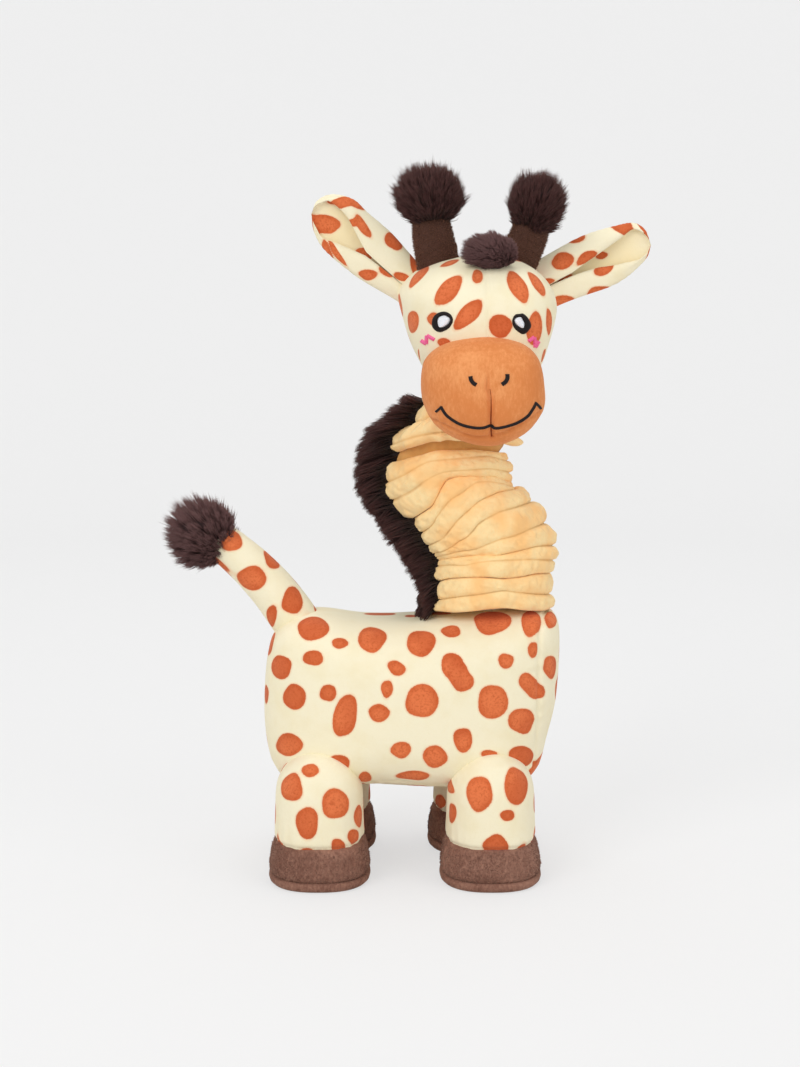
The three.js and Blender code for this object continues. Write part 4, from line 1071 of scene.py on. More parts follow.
# Cloth laid flat: lengths summed along and across the rings, with the unit directions of both
def clothOf(rings):
    rings = np.array(rings)
    sides = rings.shape[1]
    along, across = np.gradient(rings, axis=0), np.gradient(rings, axis=1)
    across[:, sides // 2 - 1] = rings[:, sides // 2 - 1] - rings[:, sides // 2 - 2]
    across[:, sides // 2] = rings[:, sides // 2 + 1] - rings[:, sides // 2]
    face = np.broadcast_to(np.arange(sides) >= sides // 2, rings.shape[:2])
    across = np.where(face[..., None], -across, across)
    alongSize, acrossSize = (np.linalg.norm(way, axis=2, keepdims=True) for way in (along, across))
    far = np.cumsum(alongSize[..., 0], axis=0)
    first = np.cumsum(acrossSize[:, :sides // 2, 0], axis=1)
    second = np.cumsum(acrossSize[:, :sides // 2 - 1:-1, 0], axis=1)[:, ::-1]
    wide = np.concatenate([first - first[:, -1:] / 2, second - second[:, :1] / 2], axis=1)
    ways = np.stack([along / alongSize, across / acrossSize], axis=2).reshape(-1, 2, 3)
    flat = np.stack([far, wide], axis=2).reshape(-1, 2)
    return {"flat": np.concatenate([flat, np.ones((2, 2))]), "face": np.append(face.ravel(), [-1, -1]),
            "ways": np.concatenate([ways, np.zeros((2, 2, 3))])}


def makeEar(side, settings):
    ear = settings[side]
    rows = 80
    share = np.linspace(0, 1, rows)
    top, bottom = (smoothCurve(ear[edge], rows) for edge in ("top", "bottom"))
    lower, upper = (np.interp(share, ear["share"], ear[flap]) for flap in ("lowerFlap", "upperFlap"))
    rings, hollowLightRows = [], []
    for i, s in enumerate(share):
        across = top[i] - bottom[i]
        width = max(np.linalg.norm(across), 1.2)
        curl = settings["curl"] * (1 - settings["curlDrop"] * s**2) * min(1, width / 8)
        section = earSection(width, lower[i], upper[i], curl)
        along = unitOf(np.gradient(section, axis=0))
        normal = np.stack([-along[:, 1], along[:, 0]], 1)
        u = np.linspace(-1, 1, len(section))
        thin = min(1, width / 5, 0.2 + curl / settings["curl"])
        half = settings["thickness"] / 2 * np.sqrt(np.clip(1 - np.abs(u) ** 16, 0, 1)) * thin
        height, far, wide = settings["wave"]
        wave = height * np.sin(far * s + wide * u + ear["seed"])
        ring = np.concatenate([section + normal * half[:, None], (section - normal * half[:, None])[::-1]])
        flat = bottom[i] + across * (ring[:, :1] / width)
        rings.append(place(flat[:, 0], ear["y"] + ring[:, 1] + np.concatenate([wave, wave[::-1]]), flat[:, 1]))
        # Painted bounce light: the inner part of the front, inside the hollow, is marked to take a warmer yellow
        inner = (np.abs(u) < settings["paintedHollowLight"]) * 1.0
        hollowLightRows.append(np.concatenate([inner, 0 * inner]) * smoothStep(1, 0.7, s))
    leaf = putRings("earLeaf_" + side, rings)
    points = pointsOf(leaf)
    tree = treeOf(leaf)
    middle = rings[len(rings) // 2]
    if middle[36, 1] > middle[-37, 1]:
        hollowLightRows = [row[::-1] for row in hollowLightRows]
    inside = np.concatenate([np.concatenate(hollowLightRows), [0, 0]])
    setAttribute(leaf, "paintedHollowLight", inside * (points[:, 1] > layoutShift[1] + (ear["y"] + 0.2) * mm))
    spots = spotsInPicture(tree, ear["spots"])
    spots = fillSpots(leaf, tree, spots, dict(settings["fill"], seed=ear["seed"]))
    cloth = clothOf(rings)
    paintSpots(leaf, spots, ear["seed"], cloth)
    length, width = np.ptp(cloth["flat"][:-2], axis=0)
    surface = np.empty(len(leaf.data.polygons))
    leaf.data.polygons.foreach_get("area", surface)
    body = "ear_" + side
    label(leaf, body, (body + "_front", body + "_back"), ("print",))


for side in ("right", "left"):
    makeEar(side, earSet)
print("ears ready")

# Fur: tapered strands over a dark core, whose dark is painted shade seen between the strands.
# Strands run from roots to tips, each bent through a middle point: a three-sided tube, closed at the root, to a point
def strandMesh(roots, tips, bends, widths, source, short=False):
    count = len(roots)
    levels = np.array([0, 0.6]) if short else np.array([0, 0.4, 0.75])
    taper = np.array([1, 0.8]) if short else np.array([0.8, 1, 0.65])
    middle = (roots + tips) / 2 + bends
    curve = [roots * (1 - t) ** 2 + middle * 2 * t * (1 - t) + tips * t**2 for t in levels]
    along = unitOf(tips - roots)
    side = unitOf(np.cross(along, source.normal(size=(count, 3))))
    up = np.cross(along, side)
    points = []
    for at, narrow in zip(curve, taper):
        for turn in (0, 2 * np.pi / 3, 4 * np.pi / 3):
            points.append(at + (side * np.cos(turn) + up * np.sin(turn)) * (widths * narrow / 2)[:, None])
    points.append(tips)
    points = np.stack(points, 1)
    faces = [(2, 1, 0)]
    tip = 3 * len(levels)
    for level in range(0, tip - 3, 3):
        for j in range(3):
            k = (j + 1) % 3
            faces += [(level + j, level + k, level + 3 + k), (level + j, level + 3 + k, level + 3 + j)]
    faces += [(tip - 3, tip - 2, tip), (tip - 2, tip - 1, tip), (tip - 1, tip - 3, tip)]
    faces = np.array(faces)[None] + ((tip + 1) * np.arange(count))[:, None, None]
    share = np.tile(np.concatenate([np.repeat(levels, 3), [1]]), count)
    shade = np.repeat(source.uniform(0, 1, count), tip + 1)
    return points.reshape(-1, 3), faces.reshape(-1, 3), share, shade


# Tips drawn together into locks: each tip moves part of the way to the nearest of a few chosen tips
def clump(tips, each, pull, source):
    chosen = tips[source.permutation(len(tips))[:max(1, len(tips) // each)]]
    nearest = np.empty(len(tips), dtype=int)
    step = furForm["clumpRows"]
    for first in range(0, len(tips), step):
        part = tips[first:first + step]
        nearest[first:first + step] = ((part[:, None] - chosen[None]) ** 2).sum(2).argmin(1)
    share = (pull * source.uniform(0.6, 1.2, len(tips)))[:, None]
    return tips + (chosen[nearest] - tips) * np.clip(share, 0, 1)


# Fur piece of core and strands in one mesh; the core takes the second material
def putFur(name, core, roots, tips, bends, widths, source, short=False):
    points, faces, share, shade = strandMesh(roots, tips, bends, widths, source, short)
    corePoints, coreFaces = core
    whole = putMesh(name, np.concatenate([points, corePoints]), np.concatenate([faces, coreFaces + len(points)]))
    setAttribute(whole, "along", np.concatenate([share, np.zeros(len(corePoints))]))
    setAttribute(whole, "shade", np.concatenate([shade, np.ones(len(corePoints))]))
    index = np.concatenate([np.zeros(len(faces), np.int32), np.ones(len(coreFaces), np.int32)])
    for _ in range(2):
        whole.data.materials.append(None)
    whole.data.polygons.foreach_set("material_index", index)
    return whole


# Lumpy ball with poles along Z: radius times 1 + waves
def coreBall(centre, half, seed, sides=32, rows=18):
    turn = np.linspace(0, 2 * np.pi, sides, endpoint=False)
    lift = np.linspace(-np.pi / 2, np.pi / 2, rows + 2)[1:-1, None]
    unit = np.stack([np.cos(lift) * np.cos(turn), np.cos(lift) * np.sin(turn), np.sin(lift) + 0 * turn], -1)
    unit = np.concatenate([unit.reshape(-1, 3), [[0, 0, -1], [0, 0, 1]]])
    lumps = 1 + 0.05 * waves(unit, 0.8, seed)
    return centre + unit * np.asarray(half) * mm * lumps[:, None], closedFaces(rows, sides)


def spread(count, source):
    return unitOf(source.normal(size=(count, 3)))


furForm = {"width": (0.7, 1.3), "ballRoot": 0.24, "ballCore": 0.68, "clumpRows": 2000}


def strandWidths(width, count, source):
    return width * source.uniform(*furForm["width"], count) * mm


# Centre, half axes, place that the strands come from, number of strands, and how far round the back they start
ballSet = {
    "hornPompom_right": {"centre": (8.6, -10, 329), "half": (17.2, 16, 14.6), "from": (10.6, -10, 318),
                         "count": 10500, "seed": 81, "open": 0.78, "width": 0.36, "lock": 24, "pull": 0.34,
                         "body": "horn_right", "node": "horn_right_pompom", "look": "fur"},
    "hornPompom_left": {"centre": (60, -8, 325.4), "half": (14.2, 14, 15), "from": (57, -8, 315),
                        "count": 9000, "seed": 82, "open": 0.86, "width": 0.36, "lock": 24, "pull": 0.34,
                        "body": "horn_left", "node": "horn_left_pompom", "look": "fur"},
    "tailTuft": {"centre": (-102.8, 0, 166.5), "half": (18, 17, 18), "from": (-94.5, 0, 160),
                 "count": 10000, "seed": 83, "open": 0.86, "width": 0.36, "lock": 40, "pull": 0.42,
                 "body": "tail", "node": "tail_tuft", "look": "tuftFur"},
}


# Fur ball: strands fan out from where the pile is sewn on to an outer egg, with uneven lengths
def makeBall(name, settings):
    source = np.random.default_rng(settings["seed"])
    centre = place(*settings["centre"])
    half = np.array(settings["half"]) * mm
    unit = spread(settings["count"], source)
    back = place(*settings["from"]) - centre
    unit = unit[unit @ back < (settings["open"] - 0.25 * np.minimum(unit[:, 0], 0)) * np.linalg.norm(back)]
    uneven = 0.98 + 0.05 * waves(unit, 0.7, settings["seed"]) + source.normal(0, 0.02, len(unit))
    roots = place(*settings["from"]) + unit * half * furForm["ballRoot"]
    aim = unit + source.normal(0, 0.08, unit.shape)
    tips = centre + aim * half * uneven[:, None]
    tips = clump(tips, settings["lock"], settings["pull"], source)
    swirl = np.stack([waves(unit, 0.5, settings["seed"] + k) for k in (200, 201, 202)], 1)
    bends = (source.normal(0, 0.5, unit.shape) + 1.2 * swirl + 1.5 * unit) * mm
    widths = strandWidths(settings["width"], len(unit), source)
    core = coreBall(centre, np.array(settings["half"]) * furForm["ballCore"], settings["seed"])
    ball = putFur(name, core, roots, tips, bends, widths, source)
    label(ball, settings["body"], (settings["node"],), (settings["look"], "furCore"))


for name, settings in ballSet.items():
    makeBall(name, settings)
print("pompoms and tail tuft ready")

# Horn stems: a flattened soft stub under short pile
stemSet = {
    "right": {"line": [(13.8, 290), (12.8, 298), (11.2, 306), (9.6, 315), (9, 319)], "y": -10,
              "radii": [9.6, 9.8, 9.6, 8.6, 6.2], "seed": 91},
    "left": {"line": [(46.5, 287), (49.8, 295), (53, 302), (56, 309), (57.5, 314)], "y": -8,
             "radii": [9.2, 9.4, 9.2, 8.8, 8.2], "seed": 92},
    "flat": 0.72, "pile": 1.2, "width": 0.3, "count": 5200, "lean": (0, 0, 0.35),
}


# Short pile over a skin: strands stand off random places on its faces, leaning a little one way
def pileOver(piece, count, length, width, lean, source, keep=None):
    points = pointsOf(piece)
    mesh = piece.data
    mesh.calc_loop_triangles()
    corners = np.empty(3 * len(mesh.loop_triangles), np.int32)
    mesh.loop_triangles.foreach_get("vertices", corners)
    corners = corners.reshape(-1, 3)
    a, b, c = (points[corners[:, k]] for k in range(3))
    normal = np.cross(b - a, c - a)
    area = np.linalg.norm(normal, axis=1)
    normal /= area[:, None] + 1e-15
    if keep is not None:
        area = area * keep((a + b + c) / 3, normal)
    pick = source.choice(len(area), count, p=area / area.sum())
    u, v = source.uniform(0, 1, (2, count))
    over = u + v > 1
    u[over], v[over] = 1 - u[over], 1 - v[over]
    roots = a[pick] + (b - a)[pick] * u[:, None] + (c - a)[pick] * v[:, None] - normal[pick] * 0.3 * mm
    aim = unitOf(normal[pick] + np.asarray(lean) + source.normal(0, 0.3, (count, 3)))
    tips = roots + aim * (length * source.uniform(0.7, 1.25, count) * mm)[:, None]
    bends = source.normal(0, 0.08 * length, (count, 3)) * mm
    return roots, tips, bends, strandWidths(width, count, source)


def makeStem(side, settings):
    stem = settings[side]
    rings = tubeRings(stem["line"], stem["radii"], 40, 30, stem["y"])
    middle = place(0, stem["y"], 0)[1]
    rings[..., 1] = middle + (rings[..., 1] - middle) * settings["flat"]
    points, faces = closedSkin(rings)
    core = putMesh("hornStem_" + side, points, faces)
    source = np.random.default_rng(stem["seed"])
    strands = pileOver(core, settings["count"], settings["pile"], settings["width"], settings["lean"], source)
    points = pointsOf(core)
    bpy.data.objects.remove(core)
    whole = putFur("hornStem_" + side, (points, faces), *strands, source, short=True)
    label(whole, "horn_" + side, ("horn_" + side + "_stem",), ("hornFur", "hornCore"))


for side in ("right", "left"):
    makeStem(side, stemSet)
print("horn stems ready")

# Forelock: long strands that fan out over the crown from a root low between the horns
forelockSet = {"root": (42, -29, 296), "half": (5, 4, 2), "tip": (36.3, -32.5, 300.4), "reach": (14, 9, 10.8),
               "core": (38, -31, 297.3), "coreHalf": (7, 3.8, 4), "rise": (0, -2.2, 2),
               "count": 7000, "seed": 93, "width": 0.34, "lock": 22, "pull": 0.3}


def makeForelock(settings):
    source = np.random.default_rng(settings["seed"])
    count = settings["count"]
    unit = spread(count, source)
    unit[:, 2] = np.abs(unit[:, 2]) * source.choice([1, 1, -0.65], count)
    unit[:, 1] = -np.abs(unit[:, 1]) * source.choice([1, 1, -0.8], count)
    roots = place(*settings["root"]) + unit * np.array(settings["half"]) * mm * 0.8
    uneven = 0.98 + 0.04 * waves(unit, 0.6, 94) + source.normal(0, 0.03, count)
    tips = place(*settings["tip"]) + unit * np.array(settings["reach"]) * mm * uneven[:, None]
    tips = clump(tips, settings["lock"], settings["pull"], source)
    bends = np.array(settings["rise"]) * mm * source.uniform(0.4, 1.2, (count, 1))
    bends += source.normal(0, 0.4, (count, 3)) * mm
    widths = strandWidths(settings["width"], count, source)
    core = coreBall(place(*settings["core"]), settings["coreHalf"], 95)
    tuft = putFur("forelockTuft", core, roots, tips, bends, widths, source)
    label(tuft, "head", ("forelock_tuft",), ("tuftFur", "furCore"))


makeForelock(forelockSet)
print("forelock ready")

# Mane: long pile along the back edge of the sleeve, combed outwards and down, in the sleeve's four stretches
maneSet = {
    "outer": [(127, 5.5), (133, 4.5), (139.4, 2.5), (147.9, -2.4), (156.4, -6.9), (163.8, -13.2), (172.7, -18.5),
              (180.6, -24.5), (186.5, -27.8), (196.8, -28.2), (209, -26.6), (217.3, -22.2), (225.6, -13.5),
              (232, -4)],
    "nearSpread": (31, 28, 23, 20),  # degrees from the back edge to the camera's side, in each stretch
    "farSpread": 42,                 # and to the other side
    "top": (2, 9, 13, 16),           # groove at which each stretch ends
    "drop": 6, "reach": (5, 22), "uneven": (0.72, 1.04), "stray": 1.2,  # mm, and shares of the reach
    "coreReach": (4, 18), "coreShare": 0.5, "coreDepth": 1.2,
    "count": (2000, 4300, 4500, 3300),
    "width": 0.46, "lock": 32, "pull": 0.5, "seed": 101,
}


def makeMane(rows, pieces, settings):
    sides = neckSet["sides"]
    outerZ, outerX = np.array(settings["outer"]).T
    manes = []
    for number, (_, below, above, start, end) in enumerate(pieces):
        source = np.random.default_rng(settings["seed"] + number)
        first = neckSet["cuts"][number] * neckSet["rows"]
        last = settings["top"][number] * neckSet["rows"]
        count = settings["count"][number]
        height = np.linalg.norm(np.diff(rows[first:last + 1, sides // 2], axis=0), axis=1)
        row = first + source.choice(last - first, count, p=height / height.sum())
        angle = source.uniform(-settings["nearSpread"][number], settings["farSpread"], count)
        column = sides / 2 + angle / 360 * sides
        low = np.floor(column).astype(int)
        share = (column - low)[:, None]
        s = source.uniform(0, 1, (count, 1))
        base = rows[row, low] * (1 - share) + rows[row, low + 1] * share
        upper = rows[row + 1, low] * (1 - share) + rows[row + 1, low + 1] * share
        roots = base + (upper - base) * s
        outward = levelWay(roots - rows[row].mean(1))
        flat = roots - layoutShift
        drop = settings["drop"] * source.uniform(0.5, 1.4, count)
        drop = drop * (1 - 1.7 * smoothStep(212, 232, flat[:, 2] / mm))
        tipZ = flat[:, 2] / mm - drop
        reach = (flat[:, 0] / mm - np.interp(tipZ, outerZ, outerX)) / np.abs(np.clip(outward[:, 0], -1, -0.6))
        reach = np.clip(reach, *settings["reach"]) * source.uniform(*settings["uneven"], count)
        tips = roots + outward * (reach * mm)[:, None]
        tips[:, 2] -= drop * mm
        tips[:, 1] += source.normal(0, settings["stray"], count) * mm
        tips = clump(tips, settings["lock"], settings["pull"], source)
        bends = np.array([0, 0, 1]) * (drop * 0.35 * mm)[:, None] + source.normal(0, 0.5, (count, 3)) * mm
        widths = strandWidths(settings["width"], count, source)
        core = maneCore(rows[first:last + 1], settings["nearSpread"][number], settings)
        mane = putFur("neckMane_" + str(number + 1), core, roots - outward * 0.5 * mm, tips, bends, widths, source)
        word = neckSet["spans"][number][-1]
        label(mane, None, ("neck_mane_" + word,) if word else (), ("fur", "furCore"))
        manes.append((mane, below, above, start, end))
    return manes


# Dark backing of the mane, painted shade seen between its strands: a strip that stands off the sleeve by half of the
# pile's reach
def maneCore(rows, nearSpread, settings):
    sides = neckSet["sides"]
    outerZ, outerX = np.array(settings["outer"]).T
    nearSide, farSide = (int(angle / 360 * sides) for angle in (nearSpread, settings["farSpread"]))
    columns = np.arange(sides // 2 - nearSide, sides // 2 + farSide + 1)
    strip = rows[::2, columns]
    outward = levelWay(strip - rows[::2].mean(1, keepdims=True))
    flat = strip - layoutShift
    reach = flat[..., 0] / mm - np.interp(flat[..., 2] / mm - 2, outerZ, outerX)
    dome = np.cos(np.linspace(-np.pi / 2, np.pi / 2, len(columns))) ** 0.6
    lift = np.clip(reach, *settings["coreReach"]) * settings["coreShare"] * dome + 0.2
    outer = strip + outward * (lift * mm)[..., None]
    inner = strip - outward * settings["coreDepth"] * mm
    return closedSkin(np.concatenate([outer, inner[:, ::-1]], axis=1))


manePieces = makeMane(neckRows, neckPieces, maneSet)
print("mane ready")

# Hooves: short thick pile over the bands
hoofPileSet = {"count": 5600, "length": 0.95, "width": 0.28, "seed": 111, "lean": (0, 0, -0.5), "steep": 0.93}


def makeHoofPile(name, band, settings):
    source = np.random.default_rng(settings["seed"] + len(name))
    low, high = (legSet["soleZ"] + 0.6) * mm, (legSet["seamZ"] - 0.4) * mm

    def keep(at, normal):
        return (at[:, 2] > low) & (at[:, 2] < high) & (np.abs(normal[:, 2]) < settings["steep"])

    strands = pileOver(band, settings["count"], settings["length"], settings["width"], settings["lean"], source, keep)
    points, faces, share, shade = strandMesh(*strands, source, short=True)
    patch = np.repeat(0.35 + 0.35 * waves(strands[0], 0.02, settings["seed"]), len(points) // settings["count"])
    pile = putMesh("hoofPile_" + name, points, faces)
    setAttribute(pile, "along", share)
    setAttribute(pile, "shade", np.clip(patch + 0.2 * (shade - 0.5), 0, 1))
    label(pile, "leg_" + name, (), ("hoofFur",))


for name, band in hoofBands.items():
    makeHoofPile(name, band, hoofPileSet)
print("hoof pile ready")

# Embroidery: satin stitches laid side by side, each a small ridge that arches over the skin between two edges
stitchSet = {
    "eyes": {
        "right": {"outer": [(432.2, 319.4), (434.4, 315.6), (438.3, 312.8), (442.8, 311.6), (446.6, 312),
                            (450.6, 314.4), (452.8, 318.3), (452.6, 322.4), (450.2, 326.8), (447, 329.6),
                            (442.8, 331.6), (440, 332.2), (436.1, 331.1), (432.8, 327.8), (431.7, 323.9)],
                  "inner": [(437.4, 321.1), (439.2, 317.2), (443.9, 315.4), (447.4, 316.5), (450.2, 319.2),
                            (448.6, 323.3), (445, 326.1), (440.8, 327.4), (438.4, 325.4)]},
        "left": {"outer": [(512.1, 320.8), (513.4, 316.9), (515.9, 314.3), (519.4, 313.9), (522.8, 313.5),
                           (526.1, 315.8), (529.2, 319.7), (531, 324.1), (530.8, 327.4), (528.5, 330.8),
                           (525.4, 333.6), (522, 334.1), (518.3, 331.9), (514.6, 328.6), (512.6, 324.7)],
                 "inner": [(514.1, 320.8), (515.6, 318.3), (520.4, 317), (522.8, 320.2), (524.3, 323.6),
                           (523.4, 327.8), (520, 327.2), (516.1, 324.3)]},
    },
    "nostrils": {
        "right": [(470.4, 376.2), (471, 379.6), (473, 382.8), (476.4, 385)],
        "left": [(507.4, 374), (507.4, 378.2), (505.6, 381.8), (501.8, 384.6)],
    },
    "mouth": [(441, 406.4), (443.9, 411.6), (448.6, 417), (459.4, 423.8), (472.4, 427.4), (483, 427.8), (490.9, 425.4),
              (495, 428), (504, 427), (517, 422.8), (527.4, 416.2), (533, 408.5), (536.2, 402.4)],
    "ticks": [[(435.8, 411.8), (438.6, 409.6), (441.6, 406.6)], [(535, 402.4), (538.2, 405.4), (541, 408.8)]],
    "cheeks": {
        "right": [(434.6, 339.8), (426.8, 335.4), (426.4, 344), (420.8, 340.4)],
        "left": [(528.2, 341.4), (534.4, 337), (535.2, 347.6), (538.8, 341)],
    },
    "thread": 0.42,   # mm from one stitch to the next
    "rise": 0.75, "whiteRise": 1.0,
    "ridge": 0.28, "arch": 3.5, "across": 9, "along": 4,  # the last two count points over and along one stitch
    "clear": 0.05, "foot": 0.5,  # mm over and under the skin
    "pixel": 0.49,    # mm
    "lineWidth": 4.2, "mouthWidth": 2.6, "cheekWidth": 3.6,  # picture pixels
    "dart": [(490, 389), (491, 396), (491.2, 408), (490.8, 423), (491.6, 436.5)], "dartWidth": 1.5, "dartRise": 0.15,
}


# Ridged band between two lines in the picture, laid on a skin: height = rise * (1 - |2v - 1|^arch) * (1 - ridge +
# ridge |sin(pi n)|), with v across the band and n counting its stitches
def satinBand(name, tree, left, right, settings, closed=False):
    left, right = np.asarray(left, float), np.asarray(right, float)
    length = np.linalg.norm(np.diff((left + right) / 2, axis=0), axis=1).sum() * settings["pixel"]
    threads = max(5, int(length / settings["thread"]))
    count = threads * settings["along"] + 1
    wide = settings["across"]
    left, right = smoothCurve(left, count), smoothCurve(right, count)
    v = np.linspace(0, 1, wide)
    flat = left[:, None] + (right - left)[:, None] * v[None, :, None]
    origin = Vector(viewSet["place"])
    skin, outward = np.zeros((2, count, wide, 3))
    for i in range(count):
        for j in range(wide):
            hit, normal, _, _ = tree.ray_cast(origin, Vector(pixelRay(*flat[i, j])))
            if hit is None:
                hit, normal = Vector(skin[i, j - 1]), Vector(outward[i, j - 1])
            skin[i, j] = hit
            outward[i, j] = normal
    share = settings["ridge"]
    ridge = 1 - share + share * np.abs(np.sin(np.pi * np.arange(count) / settings["along"]))
    arch = np.clip(1 - np.abs(2 * v - 1) ** settings["arch"], 0, 1)
    if not closed:
        ends = np.minimum(np.arange(count), np.arange(count)[::-1]) / 3
        ridge = ridge * np.clip(ends, 0, 1)
    height = settings["rise"] * ridge[:, None] * arch[None]
    top = skin + outward * ((height + settings["clear"]) * mm)[..., None]
    foot = skin - outward * settings["foot"] * mm
    return putRings(name, np.concatenate([top, foot[:, ::-1]], axis=1))


# The two edges of a band of even width along a line
def bandEdges(line, width, count=60):
    curve = smoothCurve(line, count)
    along = unitOf(np.gradient(curve, axis=0))
    across = np.stack([-along[:, 1], along[:, 0]], 1) * width / 2
    return curve + across, curve - across


# Where a level line enters and leaves a closed line of points
def spanAt(shape, level):
    a, b = shape, np.roll(shape, -1, axis=0)
    cut = (a[:, 1] - level) * (b[:, 1] - level) <= 0
    share = (level - a[cut, 1]) / (b[cut, 1] - a[cut, 1] + 1e-9)
    x = a[cut, 0] + (b[cut, 0] - a[cut, 0]) * share
    return x.min(), x.max()


# Several bands as one piece
def joined(pieces, name):
    points, faces, start = [], [], 0
    for piece in pieces:
        points.append(pointsOf(piece))
        corners = np.empty(3 * len(piece.data.polygons), np.int32)
        piece.data.polygons.foreach_get("vertices", corners)
        faces.append(corners.reshape(-1, 3) + start)
        start += len(points[-1])
        bpy.data.objects.remove(piece)
    return putMesh(name, np.concatenate(points), np.concatenate(faces))


def sewn(piece, look, node):
    label(piece, "head", (node,), (look,))


# Ring round the eye between its two lines, and the white across the inner line from side to side
def makeEye(side, eye, settings):
    outer, inner = (smoothCurve(eye[line] + eye[line][:1], 80) for line in ("outer", "inner"))
    middle = inner.mean(0)
    turn = np.arctan2(*(outer - middle).T[::-1])
    innerTurn = np.arctan2(*(inner - middle).T[::-1])
    order = np.argsort(innerTurn)
    matched = [np.interp(turn, innerTurn[order], inner[order, k], period=2 * np.pi) for k in (0, 1)]
    ring = satinBand("eyeRing_" + side, headTree, np.stack(matched, 1), outer, settings, closed=True)
    sewn(ring, "black", "eye_" + side + "_ring")
    low, high = inner[:, 1].min(), inner[:, 1].max()
    tall = (low + high) / 2 + (high - low) / 2 * np.sin(np.linspace(-np.pi / 2, np.pi / 2, 30)) * 0.97
    across = np.array([spanAt(inner, level) for level in tall])
    edges = [np.stack([across[:, k], tall], 1) for k in (0, 1)]
    white = satinBand("eyeWhite_" + side, headTree, *edges, dict(settings, rise=settings["whiteRise"]))
    sewn(white, "white", "eye_" + side + "_white")


def makeEmbroidery(settings):
    for side, eye in settings["eyes"].items():
        makeEye(side, eye, settings)

    def bandOn(name, tree, line, width):
        return satinBand(name, tree, *bandEdges(line, settings[width]), settings)

    for side, line in settings["nostrils"].items():
        sewn(bandOn("nostrilStitch_" + side, muzzleTree, line, "lineWidth"), "black", "nostril_" + side)
    parts = [bandOn("mouthPart", muzzleTree, line, "mouthWidth") for line in [settings["mouth"]] + settings["ticks"]]
    sewn(joined(parts, "mouthStitch"), "black", "mouth_line")
    for side, line in settings["cheeks"].items():
        parts = [bandOn("cheekPart", headTree, pair, "cheekWidth") for pair in zip(line[:-1], line[1:])]
        sewn(joined(parts, "cheekStitch_" + side), "pink", "cheek_" + side)


# Thread line in the muzzle's dart, 0.3 of its width at the top and full from 0.6 of its length down
def makeDart(settings):
    edges = bandEdges(settings["dart"], settings["dartWidth"])
    taper = smoothStep(0, 0.6, np.linspace(0, 1, len(edges[0])))[:, None] * 0.7 + 0.3
    middle = (edges[0] + edges[1]) / 2
    edges = [middle + (edge - middle) * taper for edge in edges]
    band = satinBand("dartSeamLine", muzzleTree, *edges, dict(settings, rise=settings["dartRise"]))
    label(band, "head", (), ("seam",))


headTree = treeOf(headSkin)
muzzleTree = treeOf(muzzleSkin)
makeEmbroidery(stitchSet)
makeDart(stitchSet)
print("embroidery ready")

# Materials: colour from picture levels, 0 to 255, to linear light
def tone(r, g, b):
    level = np.array([r, g, b]) / 255
    linear = np.where(level <= 0.04045, level / 12.92, ((level + 0.055) / 1.055) ** 2.4)
    return (*linear.tolist(), 1)


# Small builder round one material's nodes
class Maker:
    def __init__(self, name, roughness=0.95, specular=0.15):
        self.material = bpy.data.materials.new(name)
        self.material.use_nodes = True
        self.tree = self.material.node_tree
        self.shader = self.tree.nodes["Principled BSDF"]
        self.shader.inputs["Roughness"].default_value = roughness
        self.shader.inputs["Specular IOR Level"].default_value = specular
        self.coords = None

    def node(self, kind, settings=None, **inputs):
        node = self.tree.nodes.new(kind)
        for key, value in (settings or {}).items():
            setattr(node, key, value)
        for key, value in inputs.items():
            self.feed(node.inputs[key.replace("_", " ")], value)
        return node

    def feed(self, socket, value):
        if isinstance(value, bpy.types.NodeSocket):
            self.tree.links.new(value, socket)
        else:
            socket.default_value = value

    def place(self, scale=(1, 1, 1)):
        if self.coords is None:
            self.coords = self.tree.nodes.new("ShaderNodeTexCoord")
        mapping = self.node("ShaderNodeMapping", Vector=self.coords.outputs["Object"], Scale=scale)
        return mapping.outputs["Vector"]

    def noise(self, scale, detail=3, stretch=(1, 1, 1), rough=0.55):
        return self.node("ShaderNodeTexNoise", Vector=self.place(stretch), Scale=scale, Detail=detail,
                         Roughness=rough).outputs["Fac"]

    def attribute(self, name):
        return self.node("ShaderNodeAttribute", {"attribute_name": name}).outputs["Fac"]

    def math(self, operation, a, b=0.0, c=0.0):
        node = self.tree.nodes.new("ShaderNodeMath")
        node.operation = operation
        for socket, value in zip(node.inputs, (a, b, c)):
            self.feed(socket, value)
        return node.outputs[0]

    def ramp(self, value, low, high, first=0.0, last=1.0):
        node = self.node("ShaderNodeMapRange", {"interpolation_type": "SMOOTHSTEP"})
        for socket, given in zip(node.inputs, (value, low, high, first, last)):
            self.feed(socket, given)
        return node.outputs[0]

    def mix(self, share, a, b):
        node = self.tree.nodes.new("ShaderNodeMix")
        node.data_type = "RGBA"
        self.feed(node.inputs[0], share)
        self.feed(node.inputs[6], a)
        self.feed(node.inputs[7], b)
        return node.outputs[2]

    def colour(self, value):
        self.feed(self.shader.inputs["Base Color"], value)

    def bump(self, height, strength, distance):
        node = self.node("ShaderNodeBump", Height=height, Strength=strength, Distance=distance * mm)
        self.feed(self.shader.inputs["Normal"], node.outputs["Normal"])

    def sheen(self, weight, roughness, tint):
        self.shader.inputs["Sheen Weight"].default_value = weight
        self.shader.inputs["Sheen Roughness"].default_value = roughness
        self.shader.inputs["Sheen Tint"].default_value = tint


